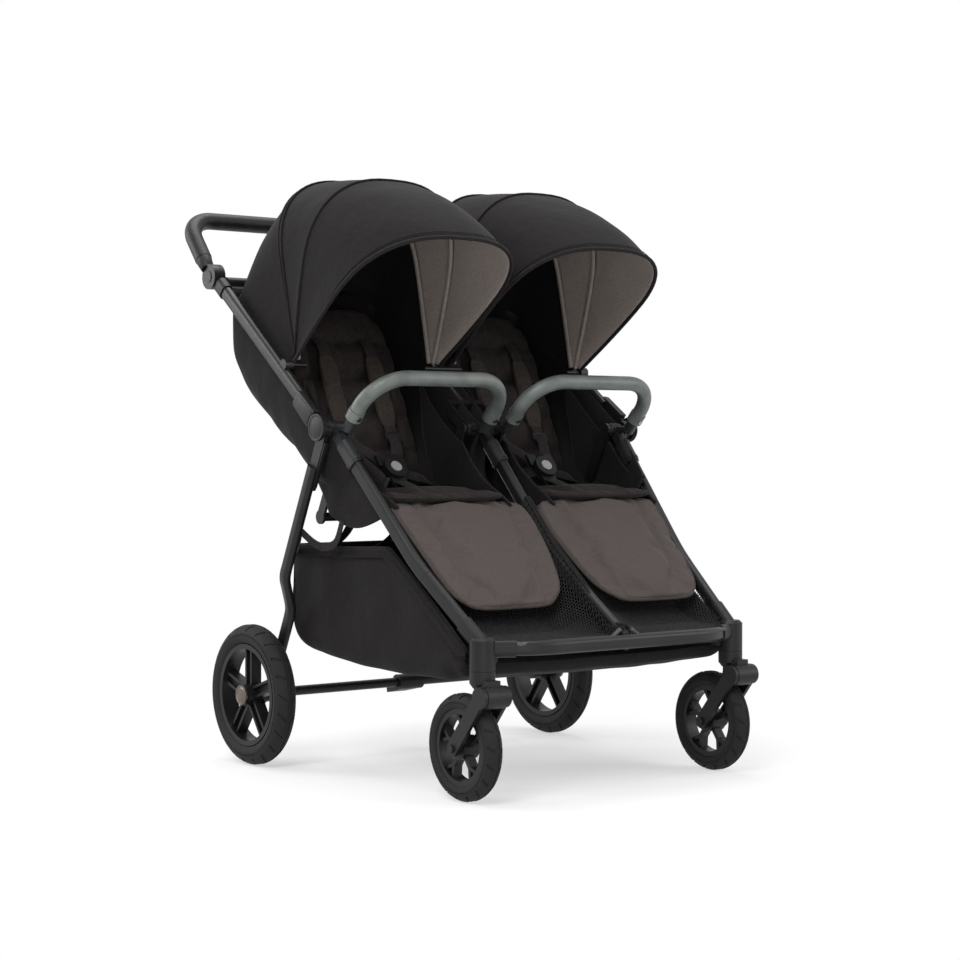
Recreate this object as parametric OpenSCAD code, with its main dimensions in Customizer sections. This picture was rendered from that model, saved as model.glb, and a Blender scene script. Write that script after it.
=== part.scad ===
// Side by side double stroller: a folding frame that carries two reclining seats.
// Front is -Y, up is +Z. Left is +X, as the pusher sees it. Modules draw the left side
// and the right side is its mirror image.

/* [Wheels] */
// Rear wheel diameter over the tyre
rear_wheel_d = 260; // [240:2:280]
// Rear tyre width
rear_tyre_w = 42; // [36:1:44]
// Front wheel diameter over the tyre
front_wheel_d = 181; // [165:1:186]
// Front tyre width
front_tyre_w = 34; // [28:1:36]
// Distance between the rear tyre centres
rear_track = 704; // [700:2:740]
// Distance between the two swivel posts
front_track = 562; // [540:2:580]
// Front axle to rear axle
wheelbase = 561; // [540:1:590]
// Swivel post ahead of the front axle
caster_trail = 47; // [42:1:50]

/* [Frame] */
// Height of the folding hinge above the floor
hinge_height = 622; // [600:1:640]
// Folding hinge behind the front axle
hinge_setback = 325; // [310:1:340]
// Folding hinge to the handle pivot
upper_len = 475; // [460:1:500]
// Slope of the upper tubes
upper_slope = 37.5; // [35:0.5:40]
// Distance between the upper side tubes
upper_track = 700; // [694:2:712]
// Distance between the lower side tubes at the hinge
lower_track = 655; // [650:1:657]
// Side tube height
tube_h = 27; // [24:1:28]
// Side tube width
tube_w = 18; // [16:1:18]
// Height of the front bar's centre line
bar_height = 257; // [250:1:262]
// Forward bow of the front bar
bar_bow = 45; // [30:1:60]
// Front bar height
bar_h = 24; // [20:1:26]
// Front bar depth
bar_w = 16; // [14:1:18]
// Swivel post diameter
post_d = 43; // [40:1:46]
// Hinge pin diameter
pin_d = 10; // [8:0.5:11]

/* [Handle] */
// Handle pivot to the handle's cross bar
handle_arm = 153.14; // [130:1:160]
// Slope of the handle arms
handle_slope = 50; // [45:0.5:55]
// Grip diameter
grip_d = 33; // [30:1:36]
// Handle tube diameter
handle_tube_d = 20; // [18:1:22]
// Bend radius of the handle's corners
handle_bend = 55; // [45:1:65]

/* [Seats] */
// Distance from the middle of the stroller to a seat's inner edge
seat_inner = 52; // [51:1:60]
// Width of one seat
seat_w = 248; // [230:1:248]
// Seat tube diameter
seat_tube_d = 16; // [14:1:18]
// Seat cushion thickness
seat_pad_t = 32; // [26:1:38]
// Backrest length
back_len = 425; // [390:1:430]
// Backrest angle from the floor at rest
back_angle = 66; // [60:1:68]
// Backrest cushion thickness
back_pad_t = 30; // [22:1:34]
// Calf rest length
calf_len = 242; // [200:1:250]
// Calf rest cushion thickness
calf_pad_t = 24; // [18:1:28]
// Slope of the calf rest at rest
calf_slope = 45; // [42:1:48]
// Depth of the seat's fabric tub below the upper tubes
tub_depth = 198; // [190:1:205]

/* [Canopy] */
// Canopy pivot along the upper tube from the hinge
canopy_pivot_r = 168; // [155:1:180]
// Bow length from the pivot
bow_r = 366; // [350:1:370]
// Angle of the front bow above the forward level
bow_front = 37; // [34:1:42]
// Angle of the middle bow
bow_mid = 76; // [72:1:80]
// Angle of the rear bow
bow_rear = 103; // [100:1:106]
// Corner radius of the bows
bow_corner = 128; // [100:1:140]
// Fabric thickness
cloth_t = 2; // [1.5:0.1:2.2]

/* [Bumper bars] */
// Width between the bar's ends
bumper_w = 299; // [296:1:300]
// Reach of the bar from its sockets
bumper_reach = 112; // [95:1:125]
// Slope of the bar's plane
bumper_slope = 47; // [42:1:52]
// Bar diameter
bumper_d = 27; // [24:1:29]

/* [Basket] */
// Basket width outside
basket_w = 594; // [570:2:596]
// Basket wall
basket_wall = 3; // [2:0.5:4]
// Height of the basket's floor
basket_floor = 203; // [195:1:215]

/* [Fits] */
// Clearance of a pin in its bore, on the radius
fit = 0.05; // [0.03:0.01:0.1]
// Clearance between pieces that slide past each other
gap = 0.5; // [0.4:0.1:0.7]

/* [Hidden] */
$fn = 64;

// Colours
frame_black = "#2b2b2d";
plastic_black = "#222224";
joint_grey = "#55575a";
tyre_black = "#1c1c1d";
cloth_black = "#232022";
pad_taupe = "#5d5653";
leather_green_black = "#3b403f";
cap_taupe = "#857a74";

// Frame places. The object is centred fore and aft on its origin.
handle_reach = upper_len * cos(upper_slope) + handle_arm * cos(handle_slope) + grip_d / 2;
rear_reach = hinge_setback + handle_reach;
front_reach = caster_trail + bar_bow + bar_w / 2;
front_axle_y = (front_reach - rear_reach) / 2;
rear_axle_y = front_axle_y + wheelbase;
hinge_y = front_axle_y + hinge_setback;
post_x = front_track / 2;
post_y = front_axle_y - caster_trail;
upper_x = upper_track / 2;
lower_x = lower_track / 2;
rear_x = rear_track / 2;
front_r = front_wheel_d / 2;
rear_r = rear_wheel_d / 2;

// Bent flat tubes swell a little in the bend
bend_swell = 0.4;
bend_over = 2.5;

// Folding hinge layers, from the barrel outwards
lug_d = 34;
lug_t = 8;
lug_h = 22;
lug_r = 76;
leg_lug_x = upper_x - lug_t - gap;
upper_lug_x = upper_x + gap;
barrel_d = 22;
barrel_rib_d = 25;
barrel_x = 307;
fork_t = 5;
disc_d = 46;
disc_t = 4;

// Lower side tube: a straight run from the hinge, one knee, and a run to the post
knee_reach = 215;
knee_drop = 233;
knee_r = 400;
leg_run = norm([lower_x - post_x, hinge_y - post_y]);
leg_yaw = -atan((lower_x - post_x) / (hinge_y - post_y));
neck_angle = -atan(knee_drop / knee_reach);
sleeve_r = 40;
sleeve_len = 50;
sleeve_wall = 3;
tube_start = 50;

// Front bar: its bow starts this far inside the posts
bow_inset = 91;
leg_end_z = bar_height + 4;

// Rear legs: straight in the side view, with a joggle inwards to pass inside the wheel
leg_len = norm([rear_axle_y - hinge_y, hinge_height - rear_r]);
leg_angle = -acos((rear_axle_y - hinge_y) / leg_len);
leg_h = 24;
leg_w = 16;
axle_d = 18;
stub_d = 12;
wheel_gap = 3;
foot_w = 22;
foot_out = rear_x - rear_tyre_w / 2 - wheel_gap;
foot_x = foot_out - foot_w / 2;
foot_d = 32;
joggle_r = 300;
joggle_run = 68;
joggle_bend = 60;

// Seat places: tubes under the front and the rear of each seat
seat_outer = seat_inner + seat_w;
seat_mid = (seat_inner + seat_outer) / 2;
seat_front_run = 137;
seat_front_y = hinge_y - seat_front_run;
seat_front_z = hinge_height - seat_front_run * knee_drop / knee_reach;
seat_rear_run = 80;
seat_rear_drop = 160;
seat_rear_y = hinge_y + seat_rear_run;
seat_rear_z = hinge_height - seat_rear_drop;
bracket_t = 5;
bracket_out_x = seat_outer + 1;
bracket_in_x = seat_inner - 9;
ring_w = 18;
ring_wall = 4;
ring_d = seat_tube_d + 2 * ring_wall;
ring_inset = 34;
ring_place = seat_w / 2 - ring_inset;
fork_x = bracket_in_x - fork_t - 2;

// Handle housings: a sleeve round the end of the upper tube and a disc beside the handle's ear
pivot_disc_d = 48;
pivot_bolt_d = 12;
housing_t = 10;
housing_wall = 2.5;
sleeve_high = upper_len - pivot_disc_d / 2 - 2;
sleeve_low = sleeve_high - 26;

// Canopy levels: each panel nests inside the one in front of it
canopy_out = upper_x - tube_w / 2 - 4;
canopy_in = 14;
canopy_lift = 16;
level_step = 10;
bow_t = 6;
bow_w = 10;
eye_d = 20;
eye_inset = 0.3;
pivot_d = 8;
cross_r = upper_len - 23;
cross_d = 20;
cross_lift = 4;

// Bumper sockets in front of the hinge barrels
socket_run = 48;
socket_rise = 4;
socket_y = hinge_y - socket_run;
socket_z = hinge_height + socket_rise;
socket_x_out = seat_mid + bumper_w / 2;
socket_x_in = seat_mid - bumper_w / 2;
socket_d = 21;
socket_arm_d = 14;
socket_len = 16;
spigot_d = 12;
sleeve_d = 30;
bumper_button_d = 9;

// Wheels
hub_d = 40;
rim_wall = 9;
cap_d = 36;

// Casters
barrel_dy = -26;
ring_z = 221;
caster_barrel_z = 180;
caster_barrel_d = 38;
caster_barrel_w = front_tyre_w + 7;
arm_t = 7;
arm_w = 26;
stem_d = 16;
stem_len = 42;
fork_pin_d = 12;
axle_bolt_d = 8;

// Draws the left piece, or its mirror image on the right
module side(s) {
    mirror([s < 0 ? 1 : 0, 0, 0]) children();
}

// Slot-shaped profile, long along X
module obround(long, short) {
    square([long - short, short], center = true);
    for (s = [-1, 1]) translate([s * (long - short) / 2, 0]) circle(d = short);
}

// Round bar along X between two places
module bar_x(x1, x2, d) {
    translate([x1, 0, 0]) rotate([0, 90, 0]) cylinder(d = d, h = x2 - x1);
}

// Profile run along +Y between two distances
module run_y(r1, r2) {
    translate([0, r1, 0]) rotate([-90, 0, 0]) linear_extrude(r2 - r1) children();
}

// Puts a piece on the folding hinge, with +Y turned to an angle
module at_hinge(a = 0) {
    translate([0, hinge_y, hinge_height]) rotate([a, 0, 0]) children();
}

// Direction between two points of a flat path, and the turn between two directions
function dir(a, b) = (b - a) / norm(b - a);
function turn(d, e) = atan2(d.x * e.y - d.y * e.x, d.x * e.x + d.y * e.y);

// Tube along a flat path, with each corner bent to one radius. The first profile is for the
// straight runs and the last for the bends, which reach over the ends of the runs.
module bent_tube(pts, r, over = 0) {
    lap = over / r * 180 / PI;
    n = len(pts);
    dirs = [for (i = [0:n - 2]) dir(pts[i], pts[i + 1])];
    turns = [for (i = [1:1:n - 2]) turn(dirs[i - 1], dirs[i])];
    cuts = [0, for (a = turns) r * tan(abs(a) / 2), 0];
    for (i = [0:n - 2])
        translate(pts[i] + dirs[i] * cuts[i])
            rotate([90, 0, atan2(dirs[i].x, -dirs[i].y)])
                linear_extrude(norm(pts[i + 1] - pts[i]) - cuts[i] - cuts[i + 1]) children(0);
    for (i = [1:1:n - 2]) {
        a = turns[i - 1];
        s = sign(a);
        d = dirs[i - 1];
        centre = pts[i] - d * cuts[i] + s * r * [-d.y, d.x];
        translate(centre)
            rotate([0, 0, atan2(-s * d.x, s * d.y) + min(a, 0) - lap])
                rotate_extrude(angle = abs(a) + 2 * lap) translate([r, 0]) children($children - 1);
    }
}

// Closed solid between two surfaces over one grid, each a function of u and v from 0 to 1
module slab(nu, nv, top, bottom) {
    row = nv + 1;
    grid = row * (nu + 1);
    points = [
        for (f = [top, bottom]) for (i = [0:nu]) for (j = [0:nv]) f(i / nu, j / nv)
    ];
    cells = [for (i = [0:nu - 1]) for (j = [0:nv - 1]) i * row + j];
    edge = [
        for (j = [0:nv - 1]) [j, j + 1],
        for (i = [0:nu - 1]) [i * row + nv, (i + 1) * row + nv],
        for (j = [nv:-1:1]) [nu * row + j, nu * row + j - 1],
        for (i = [nu:-1:1]) [i * row, (i - 1) * row],
    ];
    faces = [
        for (c = cells) each [[c, c + 1, c + row + 1], [c, c + row + 1, c + row]],
        for (c = cells) each [
            [grid + c, grid + c + row + 1, grid + c + 1],
            [grid + c, grid + c + row, grid + c + row + 1]
        ],
        for (e = edge) each [[e[0], grid + e[0], grid + e[1]], [e[0], grid + e[1], e[1]]],
    ];
    polyhedron(points, faces);
}

// Cushion with a crown, sides drawn in between its corners, and sewn channels across u
module cushion(w, l, t, crown, draw, channels = [], groove = 3, taper = 0, lean = 0) {
    edge_t = t - crown;
    waist = function(v) (1 - draw * pow(sin(180 * v), 2)) * (1 - taper * v);
    swell = function(u, v) pow(sin(180 * u) * sin(180 * v), 0.45);
    sewn = function(u) max([0, for (c = channels) exp(-pow((u - c) / 0.035, 2))]);
    x = function(u, v) w * (u - 0.5) * waist(v) + lean * v;
    y = function(u, v) l * (0.5 + (v - 0.5) * (1 - draw * pow(sin(180 * u), 2)));
    top = function(u, v) [x(u, v), y(u, v), edge_t + (crown - groove * sewn(u)) * swell(u, v)];
    bottom = function(u, v) [x(u, v), y(u, v), 0];
    slab(18, 10, top, bottom);
}

// Lower side tube, drawn in its own upright plane: X forward, Y up
module front_leg_plane(x, yaw) {
    translate([x, hinge_y, hinge_height]) rotate([0, 0, yaw]) rotate([90, 0, -90]) children();
}
function neck_point(r) = [r * cos(neck_angle), r * sin(neck_angle)];

module lower_run(reach, end_z, cut) {
    knee = [knee_reach, -knee_drop];
    end = [reach, end_z - hinge_height];
    bent_tube([neck_point(tube_start), knee, end - cut * dir(knee, end)], knee_r, bend_over) {
        obround(tube_h, tube_w);
        obround(tube_h + bend_swell, tube_w + bend_swell);
    }
}

module front_leg(s) {
    color(frame_black)
        side(s)
            front_leg_plane(lower_x, leg_yaw)
                lower_run(leg_run, leg_end_z, post_d / 2 + 4);
}

module centre_tube() {
    bar_back = post_y - bar_bow + bar_w / 2;
    color(frame_black)
        difference() {
            front_leg_plane(0, 0) lower_run(hinge_y - bar_back, bar_height, -20);
            translate([0, bar_back - 50, bar_height]) cube(100, center = true);
        }
}

// Front bar, flat in plan, bowed forwards between the posts
module bar_path(inset, long, short) {
    bow_x = post_x - bow_inset;
    end = [post_x, 0];
    start = [bow_x, -bar_bow];
    tip = end - inset * dir(start, end);
    translate([0, post_y, bar_height])
        bent_tube([[-tip.x, tip.y], [-bow_x, -bar_bow], start, tip], 150, bend_over) {
            obround_upright(long, short);
            obround_upright(long + bend_swell, short + bend_swell);
        }
}
module obround_upright(long, short) {
    rotate(90) obround(long, short);
}
module front_bar() {
    color(frame_black) bar_path(post_d / 2 + 4, bar_h, bar_w);
}

// Corner casting: a swivel post with one socket for the side tube and one for the front bar
module corner_post_solid() {
    top = bar_height + bar_h / 2 + 8;
    arm = 34;
    bar_d = dir([post_x, 0], [post_x - bow_inset, -bar_bow]);
    leg_end = [leg_run, leg_end_z - hinge_height];
    leg_d = dir(leg_end, [knee_reach, -knee_drop]);
    difference() {
        union() {
            translate([post_x, post_y, ring_z + gap]) cylinder(d = post_d, h = top - ring_z - 6);
            translate([post_x, post_y, top - 6 + gap]) cylinder(d1 = post_d, d2 = post_d - 10, h = 5);
            translate([post_x, post_y, bar_height])
                rotate([90, 0, atan2(bar_d.x, -bar_d.y)])
                    linear_extrude(post_d / 2 + arm) obround_upright(bar_h + 5, bar_w + 5);
            front_leg_plane(lower_x, leg_yaw)
                translate(leg_end) rotate([90, 0, atan2(leg_d.x, -leg_d.y)])
                    linear_extrude(post_d / 2 + arm) obround(tube_h + 5, tube_w + 5);
        }
        translate([post_x, post_y, ring_z - 1]) cylinder(d = stem_d + 2 * fit, h = stem_len + 2);
        translate([post_x, post_y, bar_height])
            rotate([90, 0, atan2(bar_d.x, -bar_d.y)])
                translate([0, 0, post_d / 2 + 4])
                    linear_extrude(arm) obround_upright(bar_h + 0.2, bar_w + 0.2);
        front_leg_plane(lower_x, leg_yaw)
            translate(leg_end) rotate([90, 0, atan2(leg_d.x, -leg_d.y)])
                translate([0, 0, post_d / 2 + 4])
                    linear_extrude(arm) obround(tube_h + 0.2, tube_w + 0.2);
        translate([0, 0, ring_z - 100 + gap]) cube([2000, 2000, 200], center = true);
    }
}
module corner_posts() {
    color(plastic_black) for (s = [-1, 1]) side(s) corner_post_solid();
}

// Lower half of a hinge: ribbed barrel, neck and the sleeve round the lower tube
module hub_sleeve(x, yaw) {
    front_leg_plane(x, yaw)
        rotate([0, 0, neck_angle])
            difference() {
                union() {
                    translate([0, -9, -8]) cube([sleeve_r + 4, 18, 16]);
                    translate([sleeve_r, 0, 0]) rotate([90, 0, 90])
                        linear_extrude(sleeve_len)
                            obround(tube_h + 2 * sleeve_wall, tube_w + 2 * sleeve_wall);
                    translate([sleeve_r + sleeve_len - 10, 0, 0]) rotate([90, 0, 90])
                        linear_extrude(6)
                            obround(tube_h + 2 * sleeve_wall + 3, tube_w + 2 * sleeve_wall);
                }
                translate([tube_start - 1, 0, 0]) rotate([90, 0, 90])
                    linear_extrude(sleeve_len) obround(tube_h + 0.2, tube_w + 0.2);
            }
}
module ribs(x1, x2) {
    count = 4;
    pitch = (x2 - x1) / count;
    for (i = [0:count - 1])
        at_hinge() bar_x(x1 + pitch * (i + 0.2), x1 + pitch * (i + 0.8), barrel_rib_d);
}
module bumper_socket(x) {
    translate([x, socket_y, socket_z]) rotate([180 - bumper_slope, 0, 0])
        translate([0, -10, 0]) rotate([-90, 0, 0]) cylinder(d = socket_d, h = socket_len + 10);
    translate([x, hinge_y, hinge_height]) rotate([90, 0, 0])
        cylinder(d = socket_arm_d, h = hinge_y - socket_y);
}
module bumper_socket_bore(x) {
    translate([x, socket_y, socket_z]) rotate([180 - bumper_slope, 0, 0])
        translate([0, -5, 0]) rotate([-90, 0, 0]) cylinder(d = spigot_d + 2 * gap, h = socket_len + 20);
}
module side_hub_solid() {
    end_x = leg_lug_x - 2 * gap;
    difference() {
        union() {
            at_hinge() bar_x(barrel_x, end_x, barrel_d);
            ribs(barrel_x + 3, end_x - 8);
            hub_sleeve(lower_x, leg_yaw);
            bumper_socket(socket_x_out);
        }
        at_hinge() bar_x(barrel_x - 20, end_x + 20, pin_d + 2 * fit);
        bumper_socket_bore(socket_x_out);
    }
}
module side_hubs() {
    color(joint_grey) for (s = [-1, 1]) side(s) side_hub_solid();
}
module centre_hub() {
    half = fork_x - 2 * gap;
    color(joint_grey)
        difference() {
            union() {
                at_hinge() bar_x(-half, half, barrel_d);
                ribs(-half + 4, half - 4);
                hub_sleeve(0, 0);
                for (s = [-1, 1]) side(s) bumper_socket(socket_x_in);
            }
            at_hinge() bar_x(-half - 20, half + 20, pin_d + 2 * fit);
            for (s = [-1, 1]) side(s) bumper_socket_bore(socket_x_in);
        }
}

// Hinge pins: one through each side joint under its round cover, one through the middle joint
module hinge_pins() {
    cover_x = upper_lug_x + lug_t + gap;
    color(plastic_black) at_hinge() {
        for (s = [-1, 1]) side(s) {
            bar_x(bracket_out_x, cover_x, pin_d);
            bar_x(cover_x, cover_x + disc_t - 1.5, disc_d);
            bar_x(cover_x + disc_t - 1.5, cover_x + disc_t, disc_d - 6);
        }
        bar_x(-bracket_in_x - bracket_t, bracket_in_x + bracket_t, pin_d);
    }
}

// Seat tubes: one under the front and one under the rear of each seat
function leg_x_at(y) = lower_x + (hinge_y - y) * tan(leg_yaw);
module seat_tubes() {
    front_end = leg_x_at(seat_front_y - seat_tube_d / 2) - tube_w / 2 / cos(leg_yaw) - 0.3;
    color(frame_black) for (s = [-1, 1]) side(s) {
        translate([0, seat_front_y, seat_front_z]) bar_x(tube_w / 2, front_end, seat_tube_d);
        translate([0, seat_rear_y, seat_rear_z])
            bar_x(bracket_in_x, bracket_out_x + bracket_t, seat_tube_d);
    }
}

// Seat brackets: plates that hang from the hinge pins and hold the rear seat tubes
module bracket_solid(x) {
    reach = norm([seat_rear_y - hinge_y, hinge_height - seat_rear_z]);
    a = -acos((seat_rear_y - hinge_y) / reach);
    width = 20;
    translate([x, 0, 0]) at_hinge(a)
        difference() {
            union() {
                bar_x(0, bracket_t, pin_d + 14);
                translate([0, 0, -width / 2]) cube([bracket_t, reach, width]);
                translate([0, reach, 0]) bar_x(0, bracket_t, seat_tube_d + 10);
            }
            bar_x(-1, bracket_t + 1, pin_d + 2 * fit);
            translate([0, reach, 0]) bar_x(-1, bracket_t + 1, seat_tube_d + 2 * fit);
        }
}
module seat_brackets() {
    color(frame_black)
        for (s = [-1, 1]) side(s) for (x = [bracket_in_x, bracket_out_x]) bracket_solid(x);
}

// Seat cushions, lying on the seat tubes
module seat_pads() {
    tilt = atan2(seat_rear_z - seat_front_z, seat_rear_y - seat_front_y);
    length = norm([seat_rear_y - seat_front_y, seat_rear_z - seat_front_z]);
    nose = 16;
    color(cloth_black)
        for (s = [-1, 1]) side(s)
            translate([seat_mid, seat_front_y, seat_front_z]) rotate([tilt, 0, 0])
                translate([0, -nose, ring_d / 2 + gap])
                    cushion(seat_w - 4, length + nose - 6, seat_pad_t, 14, 0.03, [0.22, 0.78]);
}

// Backrest: a hinged board with rings round the rear seat tube, and its cushion with shoulder pads
board_t = 4;
module at_back(s) {
    side(s) translate([seat_mid, seat_rear_y, seat_rear_z]) rotate([back_angle, 0, 0]) children();
}
module hinge_rings() {
    for (s = [-1, 1])
        translate([s * ring_place - ring_w / 2, 0, 0]) bar_x(0, ring_w, ring_d);
}
module ring_bores() {
    bar_x(-seat_w / 2, seat_w / 2, seat_tube_d + 2 * fit);
}
module shoulder_pad() {
    linear_extrude(9) rotate(90) obround(150, 40);
}
module backrest(s) {
    board_start = ring_d / 2 + seat_pad_t + 6;
    color(cloth_black) at_back(s) {
        difference() {
            union() {
                hinge_rings();
                translate([-seat_w / 2 + 6, board_start, -ring_d / 2])
                    cube([seat_w - 12, back_len - board_start, board_t]);
                for (k = [-1, 1]) translate([k * ring_place - ring_w / 2, 0, -ring_d / 2])
                    cube([ring_w, board_start + 1, board_t]);
            }
            ring_bores();
        }
        translate([0, board_start, -ring_d / 2 + board_t + 0.3])
            cushion(seat_w - 4, back_len - board_start, back_pad_t, 12, 0.03, [0.2, 0.8]);
    }
    color(plastic_black) at_back(s)
        for (k = [-1, 1])
            translate([k * 52, board_start + 190, -ring_d / 2 + board_t + back_pad_t + 0.6])
                shoulder_pad();
}

// Calf rest: a board hinged round the front seat tube, with a tapering sewn cushion
module at_calf(s) {
    side(s) translate([seat_mid, seat_front_y, seat_front_z]) rotate([180 + calf_slope, 0, 0]) children();
}
calf_side_gap = 3;
calf_in_x = 25;
calf_end_in_x = 95;
// Outer edge of the cushion, beside the lower side tube
function calf_out_x(run) = leg_x_at(seat_front_y - run * cos(calf_slope)) - tube_w / 2 - calf_side_gap;
module calf_rest(s) {
    start = ring_d / 2 + 2;
    end = calf_len - 6;
    top_out = calf_out_x(start);
    end_out = calf_out_x(calf_len) - 8;
    top_w = top_out - calf_in_x;
    end_w = end_out - calf_end_in_x;
    top_c = (top_out + calf_in_x) / 2 - seat_mid;
    end_c = (end_out + calf_end_in_x) / 2 - seat_mid;
    board_w = seat_w - 22;
    color(pad_taupe) at_calf(s) {
        difference() {
            union() {
                hinge_rings();
                for (k = [-1, 1]) translate([k * ring_place - ring_w / 2, 0, ring_d / 2 - board_t])
                    cube([ring_w, start + 1, board_t]);
                translate([0, 0, ring_d / 2 - board_t]) linear_extrude(board_t)
                    polygon([
                        [-board_w / 2, start], [board_w / 2, start],
                        [end_c + end_w / 2 - 8, end], [end_c - end_w / 2 + 8, end]
                    ]);
            }
            ring_bores();
        }
        mirror([0, 0, 1]) translate([top_c, start, -ring_d / 2 + board_t + 0.3])
            cushion(top_w, calf_len - start, calf_pad_t, 9, 0.03, [0.2, 0.8], 3, 1 - end_w / top_w, end_c - top_c);
    }
}

// Footwell nets: a floor from the front bar back under the calf rest, then a panel up behind it
net_t = 2;
net_hole = 20;
net_pitch = 26;
net_rim = 12;
// One flat net. Its outer edge is a table of run and X, its inner edge stands beside the middle tube.
module net(inner, edge) {
    end = edge[len(edge) - 1][0];
    rise = net_pitch * sin(60);
    margin = net_rim + net_hole / 2;
    linear_extrude(net_t)
        difference() {
            polygon([[inner, end], [inner, edge[0][0]], for (e = edge) [e[1], e[0]]]);
            for (j = [0:floor((end - 2 * margin) / rise)]) {
                y = margin + rise * j;
                x1 = inner + margin + (j % 2) * net_pitch / 2;
                for (x = [x1:net_pitch:lookup(y - net_hole, edge) - margin])
                    translate([x, y]) rotate(30) circle(d = net_hole, $fn = 6);
            }
        }
}
module footrests() {
    inner = tube_w / 2 + 1;
    bow_x = post_x - bow_inset;
    front_y = post_y - bar_bow + bar_w / 2 + 0.3;
    front_z = bar_height + 5;
    fold_y = post_y + 102;
    fold_z = front_z + 29.5;
    top_y = seat_front_y + 5;
    top_z = seat_front_z - 28;
    floor_a = atan2(fold_z - front_z, fold_y - front_y);
    floor_len = norm([fold_z - front_z, fold_y - front_y]);
    back_a = atan2(top_z - fold_z, top_y - fold_y);
    back_len_net = norm([top_z - fold_z, top_y - fold_y]);
    clear = function(x, c) bar_bow * (1 - min(1, (post_x - x) / bow_inset)) + c;
    floor_edge = [
        [0, bow_x - 40],
        [clear(bow_x, 5), bow_x],
        [clear(bow_x + 30, 6), bow_x + 30],
        [clear(post_x - 34, 8), post_x - 34],
        [clear(post_x, 19), post_x - 15],
        [floor_len, post_x]
    ];
    color(cloth_black)
        for (s = [-1, 1]) side(s) {
            translate([0, front_y, front_z]) rotate([floor_a, 0, 0]) net(inner, floor_edge);
            translate([0, fold_y, fold_z]) rotate([back_a, 0, 0])
                net(inner + 1, [[-1, post_x - 1], [back_len_net, post_x + 6]]);
        }
}

// Basket: a fabric tub, open at the top
basket_back_y = rear_axle_y - 51;
basket_front_y = front_axle_y - 20;
basket_top = seat_rear_z - 60;
// Edge of the mouth below the lower side tube
basket_edge = [[hinge_y - 200, basket_top - 59], [hinge_y - 118, basket_top + 4]];
module basket_profile(wall) {
    polygon([
        [basket_back_y - wall, basket_top],
        [basket_back_y - wall - 2, basket_floor + 55 + wall],
        [basket_back_y - wall - 10, basket_floor + 29 + wall],
        [basket_back_y - wall - 32, basket_floor + 16 + wall],
        [basket_back_y - 91, basket_floor + 4 + wall],
        [basket_back_y - 190, basket_floor - 6 + wall],
        [basket_back_y - 345, basket_floor - 11 + wall],
        [front_axle_y + 48, basket_floor - 7 + wall],
        [basket_front_y + 14 + wall, basket_floor + 5 + wall],
        [basket_front_y + wall, basket_floor + 30],
        [basket_edge[0].x + wall, basket_edge[0].y],
        [basket_edge[1].x + wall, basket_edge[1].y],
    ]);
}
module basket_block(wall) {
    width = basket_w - 2 * wall;
    translate([-width / 2, 0, 0]) rotate([90, 0, 90]) linear_extrude(width) basket_profile(wall);
}
module basket() {
    color(cloth_black)
        difference() {
            basket_block(0);
            basket_block(basket_wall);
            rotate([90, 0, 90])
                linear_extrude(2 * basket_w, center = true)
                    polygon([
                        [basket_back_y + 1, basket_top - 3], [basket_back_y + 1, basket_top + 80],
                        [basket_front_y - 40, basket_top + 80], [basket_front_y - 40, basket_floor + 26],
                        [basket_front_y, basket_floor + 26],
                        [basket_edge[0].x, basket_edge[0].y - 3], [basket_edge[1].x, basket_edge[1].y - 4]
                    ]);
        }
}

// Webbing that hangs the basket from the rear seat tubes
module basket_straps() {
    strap_w = 20;
    strap_t = 1.6;
    top = [seat_rear_y, seat_rear_z - seat_tube_d / 2 - 0.3];
    foot = [basket_back_y - 1, basket_top - 2];
    a = atan2(foot.y - top.y, foot.x - top.x);
    color(cloth_black)
        for (s = [-1, 1]) side(s) for (x = [seat_mid - 56, seat_mid + 56])
            translate([x, top.x, top.y]) rotate([a, 0, 0]) translate([-strap_w / 2, 1, -strap_t])
                cube([strap_w, norm(foot - top) - 2, strap_t]);
}

// Harness buckle standing on the crotch strap, with its button
buckle_y = seat_rear_y - 44;
buckle_z = seat_rear_z + ring_d / 2 + gap + seat_pad_t + 37.1;
buckle_d = 46;
buckle_t = 15;
buckle_tilt = 50;
buckle_base = 5;
button_d = 22;
button_stroke = 3;
module at_buckle(s) {
    side(s) translate([seat_mid, buckle_y, buckle_z]) rotate([buckle_tilt, 0, 0]) children();
}
module harness_buckles() {
    color(plastic_black) for (s = [-1, 1]) at_buckle(s) {
        difference() {
            union() {
                cylinder(d = buckle_d, h = buckle_t);
                translate([-16, -46, 2]) cube([32, 46, 5]);
                for (k = [-1, 1]) translate([k * 20 - 10, 6, 3]) cube([20, 26, 6]);
            }
            translate([0, 0, buckle_base]) cylinder(d = button_d + 2 * gap, h = buckle_t);
        }
    }
}
module buckle_button(s) {
    color(joint_grey) at_buckle(s)
        translate([0, 0, buckle_base + button_stroke + gap])
            cylinder(d = button_d, h = buckle_t - buckle_base - button_stroke + 1);
}

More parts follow.
